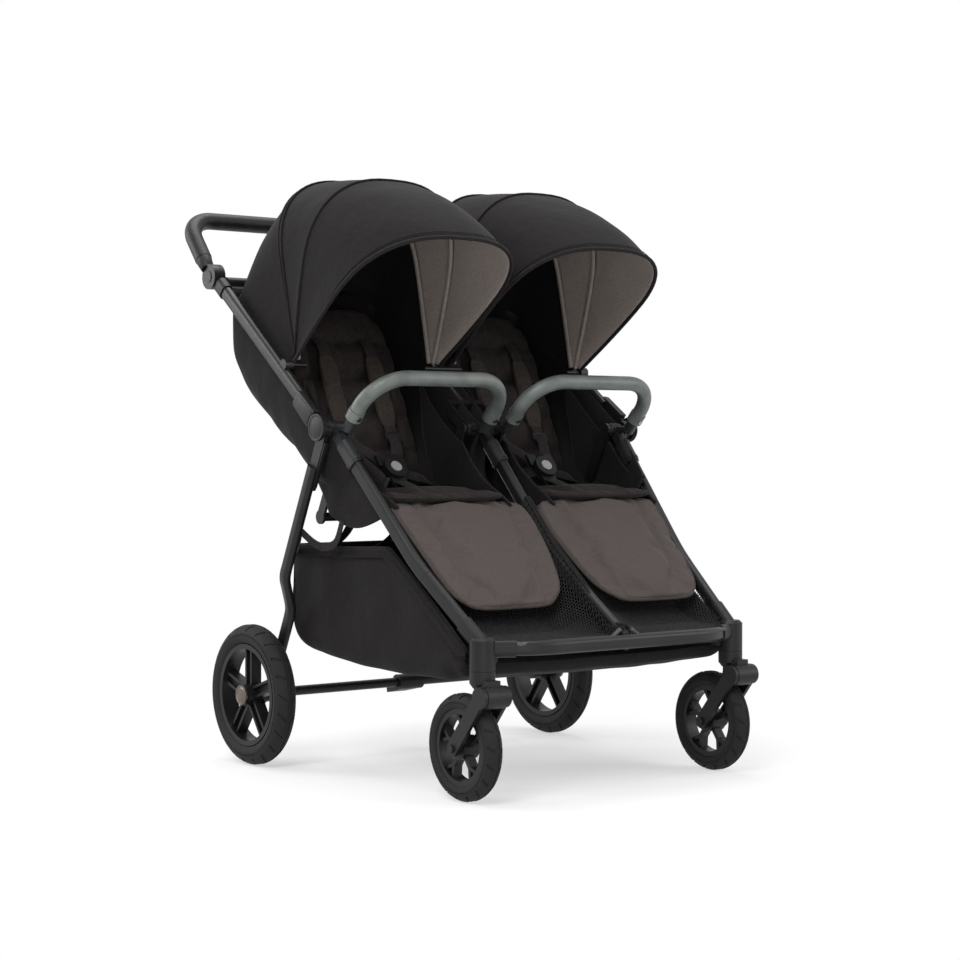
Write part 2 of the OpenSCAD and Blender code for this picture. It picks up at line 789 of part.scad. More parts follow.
// Fabric tub behind and beside a seat, hung from the upper tubes
module seat_tub(s) {
    tub_in = canopy_in;
    start = 15;
    end = upper_len + 2;
    rail = tube_h / 2 + 3;
    clip_end = sleeve_low - 20;
    bend = 200;
    tub_out = function(r) upper_x - tube_w / 2 - (r < clip_end ? 0.3 : 5);
    rail_out = function(r) r < clip_end ? 4 : rail;
    depth = function(r) r < bend
        ? tub_depth - 10 * (bend - r) / bend
        : rail + 4 + (tub_depth - rail - 4) * sqrt(max(0, 1 - pow((r - bend) / (end - bend), 4)));
    section = function(u, v, t)
        let (
            r = start + (end - start) * v,
            c = cos(180 * u),
            half = (tub_out(r) - tub_in) / 2 - t,
            x = (tub_out(r) + tub_in) / 2 + half * sign(c) * pow(abs(c), 0.5),
            rim = rail + (rail_out(r) - rail) * (1 + c) / 2,
            d = rim + (depth(r) - t - rim) * pow(abs(sin(180 * u)), 0.5)
        ) [x, r, -d];
    color(cloth_black)
        side(s)
            at_hinge(upper_slope)
                slab(24, 12, function(u, v) section(1 - u, v, 2.5), function(u, v) section(1 - u, v, 0));
}

// Upper side tube with its hinge lug and the canopy's pivot pin
module lug(x) {
    bar_x(x, x + lug_t, lug_d);
    translate([x, 0, -lug_h / 2]) cube([lug_t, lug_r + 1, lug_h]);
}
module canopy_pivot() {
    translate([0, canopy_pivot_r, canopy_lift]) children();
}
module upper_tube(s) {
    color(frame_black)
        side(s) at_hinge(upper_slope)
            difference() {
                union() {
                    lug(upper_lug_x);
                    translate([upper_x, 0, 0]) run_y(lug_r, sleeve_high)
                        rotate(90) obround(tube_h, tube_w);
                    canopy_pivot() bar_x(canopy_out - 2 * level_step - bow_t - 4, upper_x, pivot_d);
                    canopy_pivot() bar_x(upper_x - tube_w / 2 - 2.5, upper_x + tube_w / 2 - 3, eye_d);
                }
                bar_x(upper_x - 40, upper_x + 40, pin_d + 2 * fit);
            }
}
module upper_centre_tube() {
    bridge_r = 64;
    bridge_t = 12;
    fork_out = fork_x + fork_t;
    pin_end = bracket_in_x - 0.4;
    color(frame_black) at_hinge(upper_slope)
        difference() {
            union() {
                for (s = [-1, 1]) side(s) {
                    bar_x(fork_x, fork_out, lug_d - 6);
                    translate([fork_x, 0, -lug_h / 2]) cube([fork_t, bridge_r + 4, lug_h]);
                }
                translate([-fork_out, bridge_r, -lug_h / 2]) cube([2 * fork_out, bridge_t, lug_h]);
                run_y(bridge_r + bridge_t, cross_r) circle(d = cross_d);
                canopy_pivot() bar_x(-pin_end, pin_end, pivot_d);
                translate([-7, canopy_pivot_r - 9, 0]) cube([14, 18, canopy_lift]);
            }
            bar_x(-fork_out - 20, fork_out + 20, pin_d + 2 * fit);
            translate([0, cross_r, cross_lift]) bar_x(-100, 100, cross_d);
        }
}
module upper_cross_tube() {
    end_x = upper_x - tube_w / 2 - housing_wall - 0.1;
    color(frame_black) at_hinge(upper_slope)
        translate([0, cross_r, cross_lift]) bar_x(-end_x, end_x, cross_d);
}

// Handle: housings on the upper tubes, the bent tube with its two hub discs, and the grip
module at_handle() {
    at_hinge(upper_slope)
        translate([0, upper_len, 0]) rotate([handle_slope - upper_slope, 0, 0]) children();
}
module handle_housings() {
    color(plastic_black) at_hinge(upper_slope)
        for (s = [-1, 1]) side(s)
            difference() {
                union() {
                    translate([0, upper_len, 0])
                        bar_x(upper_x - tube_w / 2, upper_x - tube_w / 2 + housing_t, pivot_disc_d);
                    translate([upper_x, 0, 0]) run_y(sleeve_low, sleeve_high)
                        rotate(90) obround(tube_h + 2 * housing_wall, tube_w + 2 * housing_wall);
                    translate([upper_x - tube_w / 2, sleeve_high - 1, -12])
                        cube([housing_t, upper_len - sleeve_high + 1, 24]);
                }
                translate([upper_x, 0, 0]) run_y(sleeve_low - 1, sleeve_high + 0.1)
                    rotate(90) obround(tube_h + 0.2, tube_w + 0.2);
                translate([0, upper_len, 0]) bar_x(upper_x - 30, upper_x + 30, pivot_bolt_d + 2 * fit);
            }
}
ear_x = upper_x - tube_w / 2 + housing_t + gap;
ear_t = 13;
ear_floor = 5;
arm_start = pivot_disc_d / 2 + 2;
grip_start = 46;
module handle_run(start, d) {
    x = ear_x + ear_t / 2;
    bent_tube([[-x, start], [-x, handle_arm], [x, handle_arm], [x, start]], handle_bend) circle(d = d);
}
module handle_tube() {
    color(frame_black) at_handle()
        difference() {
            union() {
                handle_run(arm_start, handle_tube_d);
                for (s = [-1, 1]) side(s) {
                    bar_x(ear_x, ear_x + ear_t, pivot_disc_d);
                    bar_x(upper_x - tube_w / 2 - 2, ear_x + 2, pivot_bolt_d);
                    translate([ear_x, 0, -10]) cube([ear_t, 30, 20]);
                }
            }
            for (s = [-1, 1]) side(s) bar_x(ear_x + ear_floor, ear_x + ear_t + 1, button_d + 2 * gap);
        }
}
module handle_grip() {
    color(leather_green_black) at_handle()
        difference() {
            handle_run(grip_start, grip_d);
            handle_run(arm_start, handle_tube_d + 2 * fit);
        }
}
module handle_button(s) {
    x1 = ear_x + ear_floor + button_stroke + gap;
    color(joint_grey) side(s) at_handle() bar_x(x1, ear_x + ear_t + 1.5, button_d);
}

// Canopy hoop: outline of one bow in its own plane, X away from the pivot, Y across the seat
module hoop_area(inset) {
    r = bow_r - inset;
    x1 = canopy_in + inset;
    x2 = canopy_out - inset;
    c = bow_corner - inset;
    translate([0, x1]) square([r - c, x2 - x1]);
    translate([0, x1 + c]) square([r, x2 - x1 - 2 * c]);
    for (x = [x1 + c, x2 - c]) translate([r - c, x]) circle(r = c);
}
module hoop_band(inset, t, start) {
    difference() {
        hoop_area(inset);
        hoop_area(inset + t);
        translate([-500, -500]) square([500 + start, 2000]);
    }
}
// Puts the hoop's plane at an angle above the forward level
module at_canopy(s) {
    side(s) at_hinge(upper_slope) canopy_pivot() rotate([-upper_slope, 0, 0]) children();
}
module bow(level, a) {
    inset = level * level_step + cloth_t + 0.3;
    x1 = canopy_in + inset;
    x2 = canopy_out - inset;
    difference() {
        union() {
            rotate([180 - a, 0, 0]) rotate([0, 0, 90]) mirror([0, 1, 0])
                linear_extrude(bow_w, center = true) hoop_band(inset, bow_t - 0.6, 0);
            bar_x(x1 + eye_inset, x1 + bow_t - 0.6 - eye_inset, eye_d);
            bar_x(x2 - bow_t + 0.6 + eye_inset, x2 - eye_inset, eye_d);
        }
        bar_x(0, canopy_out + 10, pivot_d + 2 * fit);
    }
}
// Fabric swept between two bow angles
module canopy_cloth(level, a1, a2) {
    inset = level * level_step;
    rotate([180 - a2, 0, 0]) rotate([0, 90, 0]) rotate([0, 0, 90])
        rotate_extrude(angle = a2 - a1) hoop_band(inset, cloth_t, eye_d / 2 + 4);
}
module canopy_front(s) {
    color(cloth_black) at_canopy(s) {
        bow(0, bow_front);
        canopy_cloth(0, bow_front - 1, bow_mid + 2);
    }
}
module canopy_mid(s) {
    color(cloth_black) at_canopy(s) {
        bow(1, bow_mid);
        canopy_cloth(1, bow_mid - 1, bow_rear + 1);
    }
}
// Fixed rear panel, from the rear bow down to the upper tubes
module canopy_rear(s) {
    steps = 5;
    inset = 2 * level_step;
    a_start = bow_rear + 1.2;
    a_end = 180 - upper_slope - 1;
    shrink = 1 - (cross_r - canopy_pivot_r) / (bow_r - inset);
    outline = function(i) let (
            r = bow_r - i,
            x1 = canopy_in + i,
            x2 = canopy_out - i,
            c = bow_corner - i
        ) [
            [eye_d / 2 + 4, x1],
            [(r - c) / 2, x1],
            for (k = [0:steps]) [r - c + c * sin(90 * k / steps), x1 + c - c * cos(90 * k / steps)],
            for (k = [0:steps]) [r - c + c * cos(90 * k / steps), x2 - c + c * sin(90 * k / steps)],
            [(r - c) / 2, x2],
            [eye_d / 2 + 4, x2]
        ];
    outer = outline(inset);
    inner = outline(inset + cloth_t);
    last = len(outer) - 1;
    place = function(p, v)
        let (
            a = a_start + (a_end - a_start) * v,
            r = p[0] * (1 - shrink * pow(v, 1.5))
        ) [p[1], -r * cos(a), r * sin(a)];
    color(cloth_black) at_canopy(s) {
        bow(2, bow_rear);
        slab(last, 6,
            function(u, v) place(outer[round(u * last)], v),
            function(u, v) place(inner[round(u * last)], v));
    }
}

// Bumper bar: a padded arch on two spigots, with a release button under each end
module at_bumper(s) {
    side(s) translate([seat_mid, socket_y, socket_z]) rotate([180 - bumper_slope, 0, 0]) children();
}
bumper_start = socket_len + gap;
module bumper(s) {
    half = bumper_w / 2;
    color(leather_green_black) at_bumper(s)
        difference() {
            union() {
                bent_tube([
                    [-half, bumper_start], [-half, bumper_reach], [half, bumper_reach], [half, bumper_start]
                ], 72) circle(d = bumper_d);
                for (k = [-1, 1]) translate([k * half, 0, 0]) {
                    rotate([-90, 0, 0]) cylinder(d = spigot_d, h = bumper_start + 2);
                    translate([0, bumper_start, 0]) rotate([-90, 0, 0]) cylinder(d = sleeve_d, h = 20);
                }
            }
            for (k = [-1, 1]) translate([k * half, bumper_start + 10, 0])
                cylinder(d = bumper_button_d + 2 * gap, h = 40);
        }
}
module bumper_buttons(s) {
    half = bumper_w / 2;
    color(cap_taupe) at_bumper(s)
        for (k = [-1, 1]) translate([k * half, bumper_start + 10, 4])
            cylinder(d = bumper_button_d, h = sleeve_d / 2 - 4 + 1.5);
}

// Rear leg: hinge lug, joggled tube and a foot round the axle
module rear_leg(s) {
    color(frame_black)
        side(s) at_hinge(leg_angle)
            difference() {
                union() {
                    lug(leg_lug_x);
                    bent_tube([
                        [upper_x, lug_r], [upper_x, joggle_r], [foot_x, joggle_r + joggle_run],
                        [foot_x, leg_len - 10]
                    ], joggle_bend, bend_over) {
                        obround_upright(leg_h, leg_w);
                        obround_upright(leg_h + bend_swell, leg_w + bend_swell);
                    }
                    translate([0, leg_len, 0]) bar_x(foot_x - foot_w / 2, foot_out, foot_d);
                }
                bar_x(upper_x - 40, upper_x + 40, pin_d + 2 * fit);
                translate([0, leg_len, 0]) bar_x(foot_x - 40, foot_x + 40, axle_d + 2 * fit);
            }
}
module rear_axle() {
    stub_end = rear_x + rear_tyre_w / 2 - 4;
    color(frame_black) translate([0, rear_axle_y, rear_r]) {
        bar_x(-foot_out, foot_out, axle_d);
        bar_x(-stub_end, stub_end, stub_d);
    }
}

// Brake pedal: a clamp round the middle of the axle with a foot plate behind it
module brake_pedal() {
    width = 56;
    color(plastic_black) translate([0, rear_axle_y, rear_r]) rotate([-12, 0, 0])
        difference() {
            union() {
                bar_x(-width / 2, width / 2, axle_d + 12);
                translate([-width / 2 + 6, 0, -15]) cube([width - 12, 46, 8]);
                translate([-width / 2 + 6, 38, -15]) cube([width - 12, 8, 13]);
            }
            bar_x(-width, width, axle_d + 2 * fit);
        }
}

// Wheels, drawn round the X axis
module tyre_profile(r, w, depth) {
    translate([r - w / 2, 0]) circle(d = w);
    translate([r - depth, -w / 2 + 3]) square([depth - w / 2, w - 6]);
}
module tyre(r, w, depth) {
    rotate([0, 90, 0]) rotate_extrude()
        difference() {
            intersection() {
                tyre_profile(r, w, depth);
                translate([r - depth, -w]) square([depth, 2 * w]);
            }
            for (k = [-1, 1]) translate([r + 1.2, k * w * 0.2]) circle(d = 5);
        }
}
module rim_ring(r, w) {
    rotate([0, 90, 0]) rotate_extrude() translate([r - rim_wall, -w / 2]) square([rim_wall, w]);
}
// One spoke of two ribs on a web, standing up from the hub
module double_spoke(r, w) {
    for (k = [-1, 1]) translate([-w / 2, k * 9 - 2.5, 10]) cube([w, 5, r - 13]);
    translate([-3, -9, 10]) cube([6, 18, r - 13]);
}
// One spoke that forks towards the rim, as a flat outline
module forked_spoke(r, w) {
    stem = 4;
    arm = 3;
    spread = 32;
    knot = r * 0.58;
    along = [sin(spread), cos(spread)];
    across = [cos(spread), -sin(spread)];
    tip = [0, knot] + along * (r - knot);
    join_y = knot - arm * sin(spread) + (stem - arm * cos(spread)) / tan(spread);
    half = [[stem, 8], [stem, join_y], tip + arm * across, tip - arm * across];
    flipped = [for (i = [3:-1:0]) [-half[i].x, half[i].y]];
    rotate([90, 0, 90]) linear_extrude(w, center = true)
        polygon([each half, [0, knot + arm / sin(spread)], each flipped]);
}
module wheel_rim(r, w, bore, forked) {
    difference() {
        union() {
            rim_ring(r, w - 8);
            bar_x(-w / 2 + 1, w / 2 - 1, hub_d);
            intersection() {
                for (i = [0:4]) rotate([72 * i, 0, 0])
                    if (forked) forked_spoke(r, w * 0.5);
                    else double_spoke(r, w * 0.5);
                bar_x(-w, w, 2 * r - 2);
            }
        }
        bar_x(-w, w, bore + 2 * fit);
    }
}
module at_rear_wheel(s) {
    side(s) translate([rear_x, rear_axle_y, rear_r]) children();
}
module rear_tyre(s) {
    color(tyre_black) at_rear_wheel(s) tyre(rear_r, rear_tyre_w, 36);
}
module rear_rim(s) {
    cap_x = rear_tyre_w / 2 - 1 + 0.1;
    color(plastic_black) at_rear_wheel(s) wheel_rim(rear_r - 36, rear_tyre_w, stub_d, false);
    color(cap_taupe) at_rear_wheel(s) bar_x(cap_x, cap_x + 4, cap_d);
}
module front_centre(s) {
    side(s) translate([post_x, front_axle_y, front_r]) children();
}
module front_tyre(s) {
    color(tyre_black) front_centre(s) tyre(front_r, front_tyre_w, 26);
}
module front_rim(s) {
    color(plastic_black) front_centre(s) wheel_rim(front_r - 26, front_tyre_w, axle_bolt_d, true);
}

// Caster: a stem in the post, a collar and the barrel that holds the fork's pivot
module caster(s) {
    barrel_y = post_y + barrel_dy;
    color(plastic_black) side(s)
        difference() {
            union() {
                translate([post_x, post_y, ring_z - 20]) cylinder(d = post_d, h = 20);
                translate([post_x, post_y, ring_z - 28]) cylinder(d1 = post_d - 12, d2 = post_d, h = 8);
                translate([post_x, post_y, ring_z - 1]) cylinder(d = stem_d, h = stem_len);
                translate([post_x, barrel_y, caster_barrel_z])
                    bar_x(-caster_barrel_w / 2, caster_barrel_w / 2, caster_barrel_d);
                translate([post_x - 13, barrel_y - 6, caster_barrel_z])
                    cube([26, post_y - barrel_y + 12, ring_z - 14 - caster_barrel_z]);
            }
            translate([post_x, barrel_y, caster_barrel_z])
                bar_x(-caster_barrel_w, caster_barrel_w, fork_pin_d + 2 * fit);
            front_centre(1) bar_x(-caster_barrel_w, caster_barrel_w, front_wheel_d + 6);
        }
}

// Fork: two flat arms on the pivot pin, with the wheel's axle bolt
module fork(s) {
    barrel_y = post_y + barrel_dy;
    reach = norm([front_axle_y - barrel_y, front_r - caster_barrel_z]);
    a = -acos((front_axle_y - barrel_y) / reach);
    x1 = caster_barrel_w / 2 + gap;
    color(plastic_black) side(s) translate([post_x, barrel_y, caster_barrel_z]) rotate([a, 0, 0]) {
        difference() {
            union() {
                for (k = [-1, 1]) side(k) {
                    bar_x(x1, x1 + arm_t, arm_w + 10);
                    translate([x1, 0, -arm_w / 2]) cube([arm_t, reach, arm_w]);
                    translate([0, reach, 0]) bar_x(x1, x1 + arm_t, arm_w);
                }
                bar_x(-x1 - 1, x1 + 1, fork_pin_d);
            }
            translate([0, reach, 0]) bar_x(-60, 60, axle_bolt_d + 2 * fit);
        }
        translate([0, reach, 0]) {
            bar_x(-x1 - arm_t - 1, x1 + arm_t + 1, axle_bolt_d);
            for (k = [-1, 1]) side(k) bar_x(x1 + arm_t + 0.1, x1 + arm_t + 4, 14);
        }
    }
}

// Swivel lock: a slide on the inner side of the post
module swivel_lock(s) {
    x2 = post_x - post_d / 2 - gap;
    color(joint_grey) side(s) translate([x2 - 9, post_y + 2, ring_z + 10]) {
        cube([9, 14, 24]);
        translate([-4, 2, 4]) cube([6, 10, 8]);
    }
}

front_leg(1);  // front_leg_left
front_leg(-1);  // front_leg_right
centre_tube();
front_bar();
corner_posts();
side_hubs();
centre_hub();
hinge_pins();
seat_tubes();
seat_brackets();
seat_pads();
footrests();
basket();
basket_straps();
harness_buckles();
buckle_button(1);  // buckle_button_left
buckle_button(-1);  // buckle_button_right
seat_tub(1);  // seat_tub_left
seat_tub(-1);  // seat_tub_right
upper_tube(1);  // upper_tube_left
upper_tube(-1);  // upper_tube_right
upper_centre_tube();
upper_cross_tube();
handle_housings();
canopy_rear(1);  // canopy_rear_left
canopy_rear(-1);  // canopy_rear_right
handle_tube();
handle_grip();
handle_button(1);  // handle_button_left
handle_button(-1);  // handle_button_right
rear_leg(1);  // rear_leg_left
rear_leg(-1);  // rear_leg_right
rear_axle();
brake_pedal();
rear_tyre(1);  // rear_tyre_left
rear_tyre(-1);  // rear_tyre_right
rear_rim(1);  // rear_rim_left
rear_rim(-1);  // rear_rim_right
caster(1);  // caster_left
caster(-1);  // caster_right
fork(1);  // fork_left
fork(-1);  // fork_right
front_tyre(1);  // front_tyre_left
front_tyre(-1);  // front_tyre_right
front_rim(1);  // front_rim_left
front_rim(-1);  // front_rim_right
swivel_lock(1);  // swivel_lock_left
swivel_lock(-1);  // swivel_lock_right
bumper(1);  // bumper_left
bumper(-1);  // bumper_right
bumper_buttons(1);  // bumper_buttons_left
bumper_buttons(-1);  // bumper_buttons_right
calf_rest(1);  // calf_rest_left
calf_rest(-1);  // calf_rest_right
backrest(1);  // backrest_left
backrest(-1);  // backrest_right
canopy_mid(1);  // canopy_mid_left
canopy_mid(-1);  // canopy_mid_right
canopy_front(1);  // canopy_front_left
canopy_front(-1);  // canopy_front_right
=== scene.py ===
# %% [markdown]
# # Side by side double stroller
# The imported CAD model is loaded as a fixed frame. Its hard parts keep their shape and get a finish.
# Its cloth parts are plain solids there, so this lesson sews, pads and drapes new ones in their place,
# and most new pieces move with the same body as the part they stand for.

from math import atan2, copysign, cos, hypot, pi, radians, sin, sqrt, tau

import bpy
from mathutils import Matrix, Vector, noise


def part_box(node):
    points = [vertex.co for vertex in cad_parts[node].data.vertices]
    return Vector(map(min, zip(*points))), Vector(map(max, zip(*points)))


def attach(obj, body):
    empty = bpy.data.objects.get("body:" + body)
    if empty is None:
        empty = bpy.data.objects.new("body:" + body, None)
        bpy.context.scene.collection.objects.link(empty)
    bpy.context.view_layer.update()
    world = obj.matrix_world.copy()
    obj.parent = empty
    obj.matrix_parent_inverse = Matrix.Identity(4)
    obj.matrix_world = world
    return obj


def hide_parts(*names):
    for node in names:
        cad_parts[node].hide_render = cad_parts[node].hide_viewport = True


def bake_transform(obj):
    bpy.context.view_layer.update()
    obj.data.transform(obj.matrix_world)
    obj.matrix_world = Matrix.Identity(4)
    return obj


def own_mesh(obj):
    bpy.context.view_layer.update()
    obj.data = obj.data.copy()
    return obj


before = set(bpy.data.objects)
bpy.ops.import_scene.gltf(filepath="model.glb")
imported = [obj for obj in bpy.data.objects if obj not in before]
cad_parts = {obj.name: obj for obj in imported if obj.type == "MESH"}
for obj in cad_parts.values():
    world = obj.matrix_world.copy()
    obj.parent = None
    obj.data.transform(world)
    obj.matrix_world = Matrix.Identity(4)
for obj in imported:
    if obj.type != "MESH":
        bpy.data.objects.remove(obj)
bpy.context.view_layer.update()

# %% [markdown]
# ## Places
# Everything is in metres, with the front at -Y, up at +Z and the left hand of the person who pushes at +X.
# A few fixed points of the frame place all the cloth: the main hinge, the canopy's pivot, the seat tubes
# and the axles. Most pieces lie in a side view and are then given a place across, so one small function
# walks along a slope and lifts square to it.

# %% Fixed points of the frame
SIDES = {"left": 1, "right": -1}
HINGE = Vector((0, -0.033389, 0.622))
CANOPY_PIVOT = Vector((0, 0.090154, 0.736966))
SEAT_FRONT = Vector((0, -0.170389, 0.473530))
SEAT_REAR = Vector((0, 0.046611, 0.462))
REAR_AXLE = Vector((0, 0.202611, 0.130))
FRONT_AXLE = Vector((0, -0.358389, 0.0905))
SEAT_MID = 0.176
UPPER_SLOPE = radians(37.5)
BACK_SLOPE = radians(66)
CALF_SLOPE = radians(225)
REAR_LEG_SLOPE = radians(-64.4)


def on_slope(base, slope, run, lift, x=0.0):
    c, s = cos(slope), sin(slope)
    return Vector((x, base.y + run * c - lift * s, base.z + run * s + lift * c))


def between(a, b, t):
    return a + (b - a) * t


def read_table(x, rows):
    for (x1, v1), (x2, v2) in zip(rows, rows[1:]):
        if x <= x2:
            return between(v1, v2, max(0.0, (x - x1) / (x2 - x1)))
    return rows[-1][1]


print("Upper tube's end:", [round(c, 3) for c in on_slope(HINGE, UPPER_SLOPE, 0.449, 0)])

# %% [markdown]
# ## Camera
# The photo was taken from the front right with a long lens, a little above the seats. The place and lens
# were worked out from the photo's wheels and hinges, so the picture of this model lies over the photo.

# %% Camera
def aim(obj, target):
    obj.rotation_euler = (Vector(target) - obj.location).to_track_quat("-Z", "Y").to_euler()


camera = bpy.data.objects.new("camera", bpy.data.cameras.new("camera"))
bpy.context.collection.objects.link(camera)
camera.location = (-2.328, -3.0954, 0.591)
camera.data.lens = 77.46
camera.data.sensor_width = 36
aim(camera, (3.4267, 4.4850, 0.4317))
bpy.context.scene.camera = camera
bpy.context.scene.view_settings.view_transform = "Standard"
print("Camera distance:", round(camera.location.length, 2))

# %% [markdown]
# ## Studio light and floor
# A black product on white needs large soft lights, or its tubes have no edges. Five area lights stand
# round it. The world is white to the camera and in gloss, and weak as a light. The floor has a painted
# white glow for the camera and in gloss: half strength under the object, where it pales the cast shadow,
# and full strength away from it, so only a faint soft shadow by the wheels stays.

# %% Lights
def add_area_light(name, place, target, size, power):
    lamp = bpy.data.lights.new(name, "AREA")
    lamp.shape = "RECTANGLE"
    lamp.size, lamp.size_y = size
    lamp.energy = power
    obj = bpy.data.objects.new(name, lamp)
    bpy.context.collection.objects.link(obj)
    obj.location = place
    aim(obj, target)


add_area_light("key_light", (-2.7, -2.0, 2.7), (0, 0, 0.5), (1.5, 1.5), 84)
add_area_light("fill_light", (2.6, -2.8, 1.6), (0, 0, 0.5), (2.2, 1.8), 42)
add_area_light("top_light", (0.1, 0.4, 3.2), (0, 0, 0.5), (2.0, 2.0), 64)
add_area_light("rim_light", (-2.2, 2.4, 1.8), (0, 0, 0.6), (1.4, 1.8), 46)
add_area_light("low_front_light", (-1.4, -3.0, 0.5), (0, 0, 0.4), (2.0, 0.8), 16)
print("Lights:", len(bpy.data.lights))


# %% Colours and nodes
def linear(hex_colour):
    out = []
    for i in (0, 2, 4):
        c = int(hex_colour[i:i + 2], 16) / 255
        out.append(c / 12.92 if c <= 0.04045 else ((c + 0.055) / 1.055) ** 2.4)
    return (*out, 1.0)


def add_node(owner, kind, settings, feeds):
    """One shader node. Settings go to its sockets or fields, and feeds link outputs into its sockets."""
    node = owner.node_tree.nodes.new("ShaderNode" + kind)
    for key, value in settings.items():
        if isinstance(key, int) or key in node.inputs:
            node.inputs[key].default_value = value
        else:
            setattr(node, key, value)
    for key, output in feeds.items():
        owner.node_tree.links.new(output, node.inputs[key])
    return node


def start_finish(name, noises=(), **sockets):
    """New material: its shader with constants, its Object coordinates, and one height for each noise.

    A noise is the size of its blobs in metres and its detail.
    """
    finish = bpy.data.materials.new(name)
    finish.use_nodes = True
    shader = finish.node_tree.nodes["Principled BSDF"]
    for socket, value in sockets.items():
        shader.inputs[socket.replace("_", " ")].default_value = value
    place = add_node(finish, "TexCoord", {}, {}).outputs["Object"]
    heights = [add_node(finish, "TexNoise", {"Scale": 1 / size, "Detail": detail},
                        {"Vector": place}).outputs["Fac"] for size, detail in noises]
    return finish, shader, place, heights


# %% White surroundings
world = bpy.data.worlds.new("white_studio")
world.use_nodes = True
bpy.context.scene.world = world
weak = world.node_tree.nodes["Background"]
weak.inputs["Color"].default_value = linear("f2f4f7")
weak.inputs["Strength"].default_value = 0.4


def rays_that_see_white(owner):
    """One for camera, glossy and transmission rays, so gloss shows the white background too."""
    seen = add_node(owner, "LightPath", {}, {}).outputs
    either = add_node(owner, "Math", {"operation": "MAXIMUM"},
                      {0: seen["Is Camera Ray"], 1: seen["Is Glossy Ray"]})
    return add_node(owner, "Math", {"operation": "MAXIMUM"},
                    {0: either.outputs[0], 1: seen["Is Transmission Ray"]}).outputs[0]


white = add_node(world, "Background", {"Color": (1, 1, 1, 1), "Strength": 1.0}, {})
shown = add_node(world, "MixShader", {},
                 {0: rays_that_see_white(world), 1: weak.outputs[0], 2: white.outputs[0]})
world.node_tree.links.new(shown.outputs[0], world.node_tree.nodes["World Output"].inputs["Surface"])

# %% Paper floor
FLOOR_RADIUS = 9
FLOOR_DROP = 0.0005
FADE_FROM, FADE_TO = 0.35, 0.95
bpy.ops.object.select_all(action="DESELECT")
bpy.ops.mesh.primitive_circle_add(vertices=96, radius=FLOOR_RADIUS, fill_type="NGON", location=(0, 0, -FLOOR_DROP))
floor = bpy.context.object
floor.name = "floor"
# White paper is matt and reflects nothing. It takes the soft shadow, which a painted white glow then pales.
paper, paper_shader, paper_place, _ = start_finish("white_paper_floor", Base_Color=linear("fafafa"),
                                                   Roughness=0.95, Specular_IOR_Level=0.1)
away = add_node(paper, "VectorMath", {"operation": "LENGTH"}, {0: paper_place})
# Painted light: the floor glows white, at half strength within FADE_FROM of the middle, which pales the cast
# shadow, rising to full at FADE_TO.
fade = add_node(paper, "MapRange", {"interpolation_type": "SMOOTHSTEP", "From Min": FADE_FROM,
                                              "From Max": FADE_TO, "To Min": 0.5}, {"Value": away.outputs["Value"]})
share = add_node(paper, "Math", {"operation": "MULTIPLY"},
                 {0: fade.outputs[0], 1: rays_that_see_white(paper)})
painted_white_glow = add_node(paper, "Emission", {"Color": (1, 1, 1, 1), "Strength": 1.0}, {})
paper_mix = add_node(paper, "MixShader", {},
                     {0: share.outputs[0], 1: paper_shader.outputs[0], 2: painted_white_glow.outputs[0]})
paper.node_tree.links.new(paper_mix.outputs[0], paper.node_tree.nodes["Material Output"].inputs["Surface"])
floor.data.materials.append(paper)
print("Floor radius:", FLOOR_RADIUS)

# %% [markdown]
# ## Finishes
# Each finish starts from the real material: what it is called, how its surface was made and what that
# shows. All of them read Object coordinates in metres, so a pattern's scale is one over its size.
# A noise varies the colour and the roughness, and bumps stack from coarse to fine.

# %% How a finish is put together
def paint(finish, shader, tone, dark, light, bumps, wear=None):
    """Two colours mixed by a height, bumps of (height, depth in metres, strength) with the coarse ones
    first, and where it wears, roughness by (height, low, high)."""
    links = finish.node_tree.links
    spread = add_node(finish, "MapRange", {"From Min": 0.34, "From Max": 0.66}, {"Value": tone})
    mix = add_node(finish, "Mix", {"data_type": "RGBA", 6: linear(dark), 7: linear(light)},
                   {0: spread.outputs[0]})
    links.new(mix.outputs[2], shader.inputs["Base Color"])
    under = {}
    for height, depth, strength in bumps:
        bump = add_node(finish, "Bump", {"Distance": depth, "Strength": strength},
                        {"Height": height, **under})
        under = {"Normal": bump.outputs[0]}
    links.new(bump.outputs[0], shader.inputs["Normal"])
    if wear:
        rough = add_node(finish, "MapRange", {"To Min": wear[1], "To Max": wear[2]}, {"Value": wear[0]})
        links.new(rough.outputs[0], shader.inputs["Roughness"])
    return finish


# %% [markdown]
# ### Woven cloth
# Canopy and basket are polyester oxford, the pads a two-tone melange, the straps close webbing. Woven
# polyester is matt with a faint sheen at the edge of a fold. The threads are 0.5 mm on the real cloth,
# too fine for this picture, so they are drawn at about 2 mm to show.

# %% Woven cloth
# Metres between the bands of a wave texture whose scale is one
WAVE_PERIOD = 0.314


def weave(name, dark, light, thread=0.002, mottle=0.004, fold=0.04, fold_strength=0.5, sheen=0.03):
    finish, shader, place, (tone, creases) = start_finish(
        name, [(mottle, 4), (fold, 2)], Roughness=0.9, Sheen_Weight=sheen, Sheen_Roughness=0.4,
        Specular_IOR_Level=0.16)
    warp, weft = [add_node(finish, "TexWave", {"bands_direction": way, "Scale": WAVE_PERIOD / thread,
                                                         "Distortion": 1.0, "Detail Scale": 2.0},
                           {"Vector": place}).outputs["Fac"] for way in ("X", "Z")]
    threads = add_node(finish, "Math", {"operation": "MAXIMUM"}, {0: warp, 1: weft})
    return paint(finish, shader, tone, dark, light,
                 [(creases, 0.004, fold_strength), (threads.outputs[0], 0.0004, 0.3)])


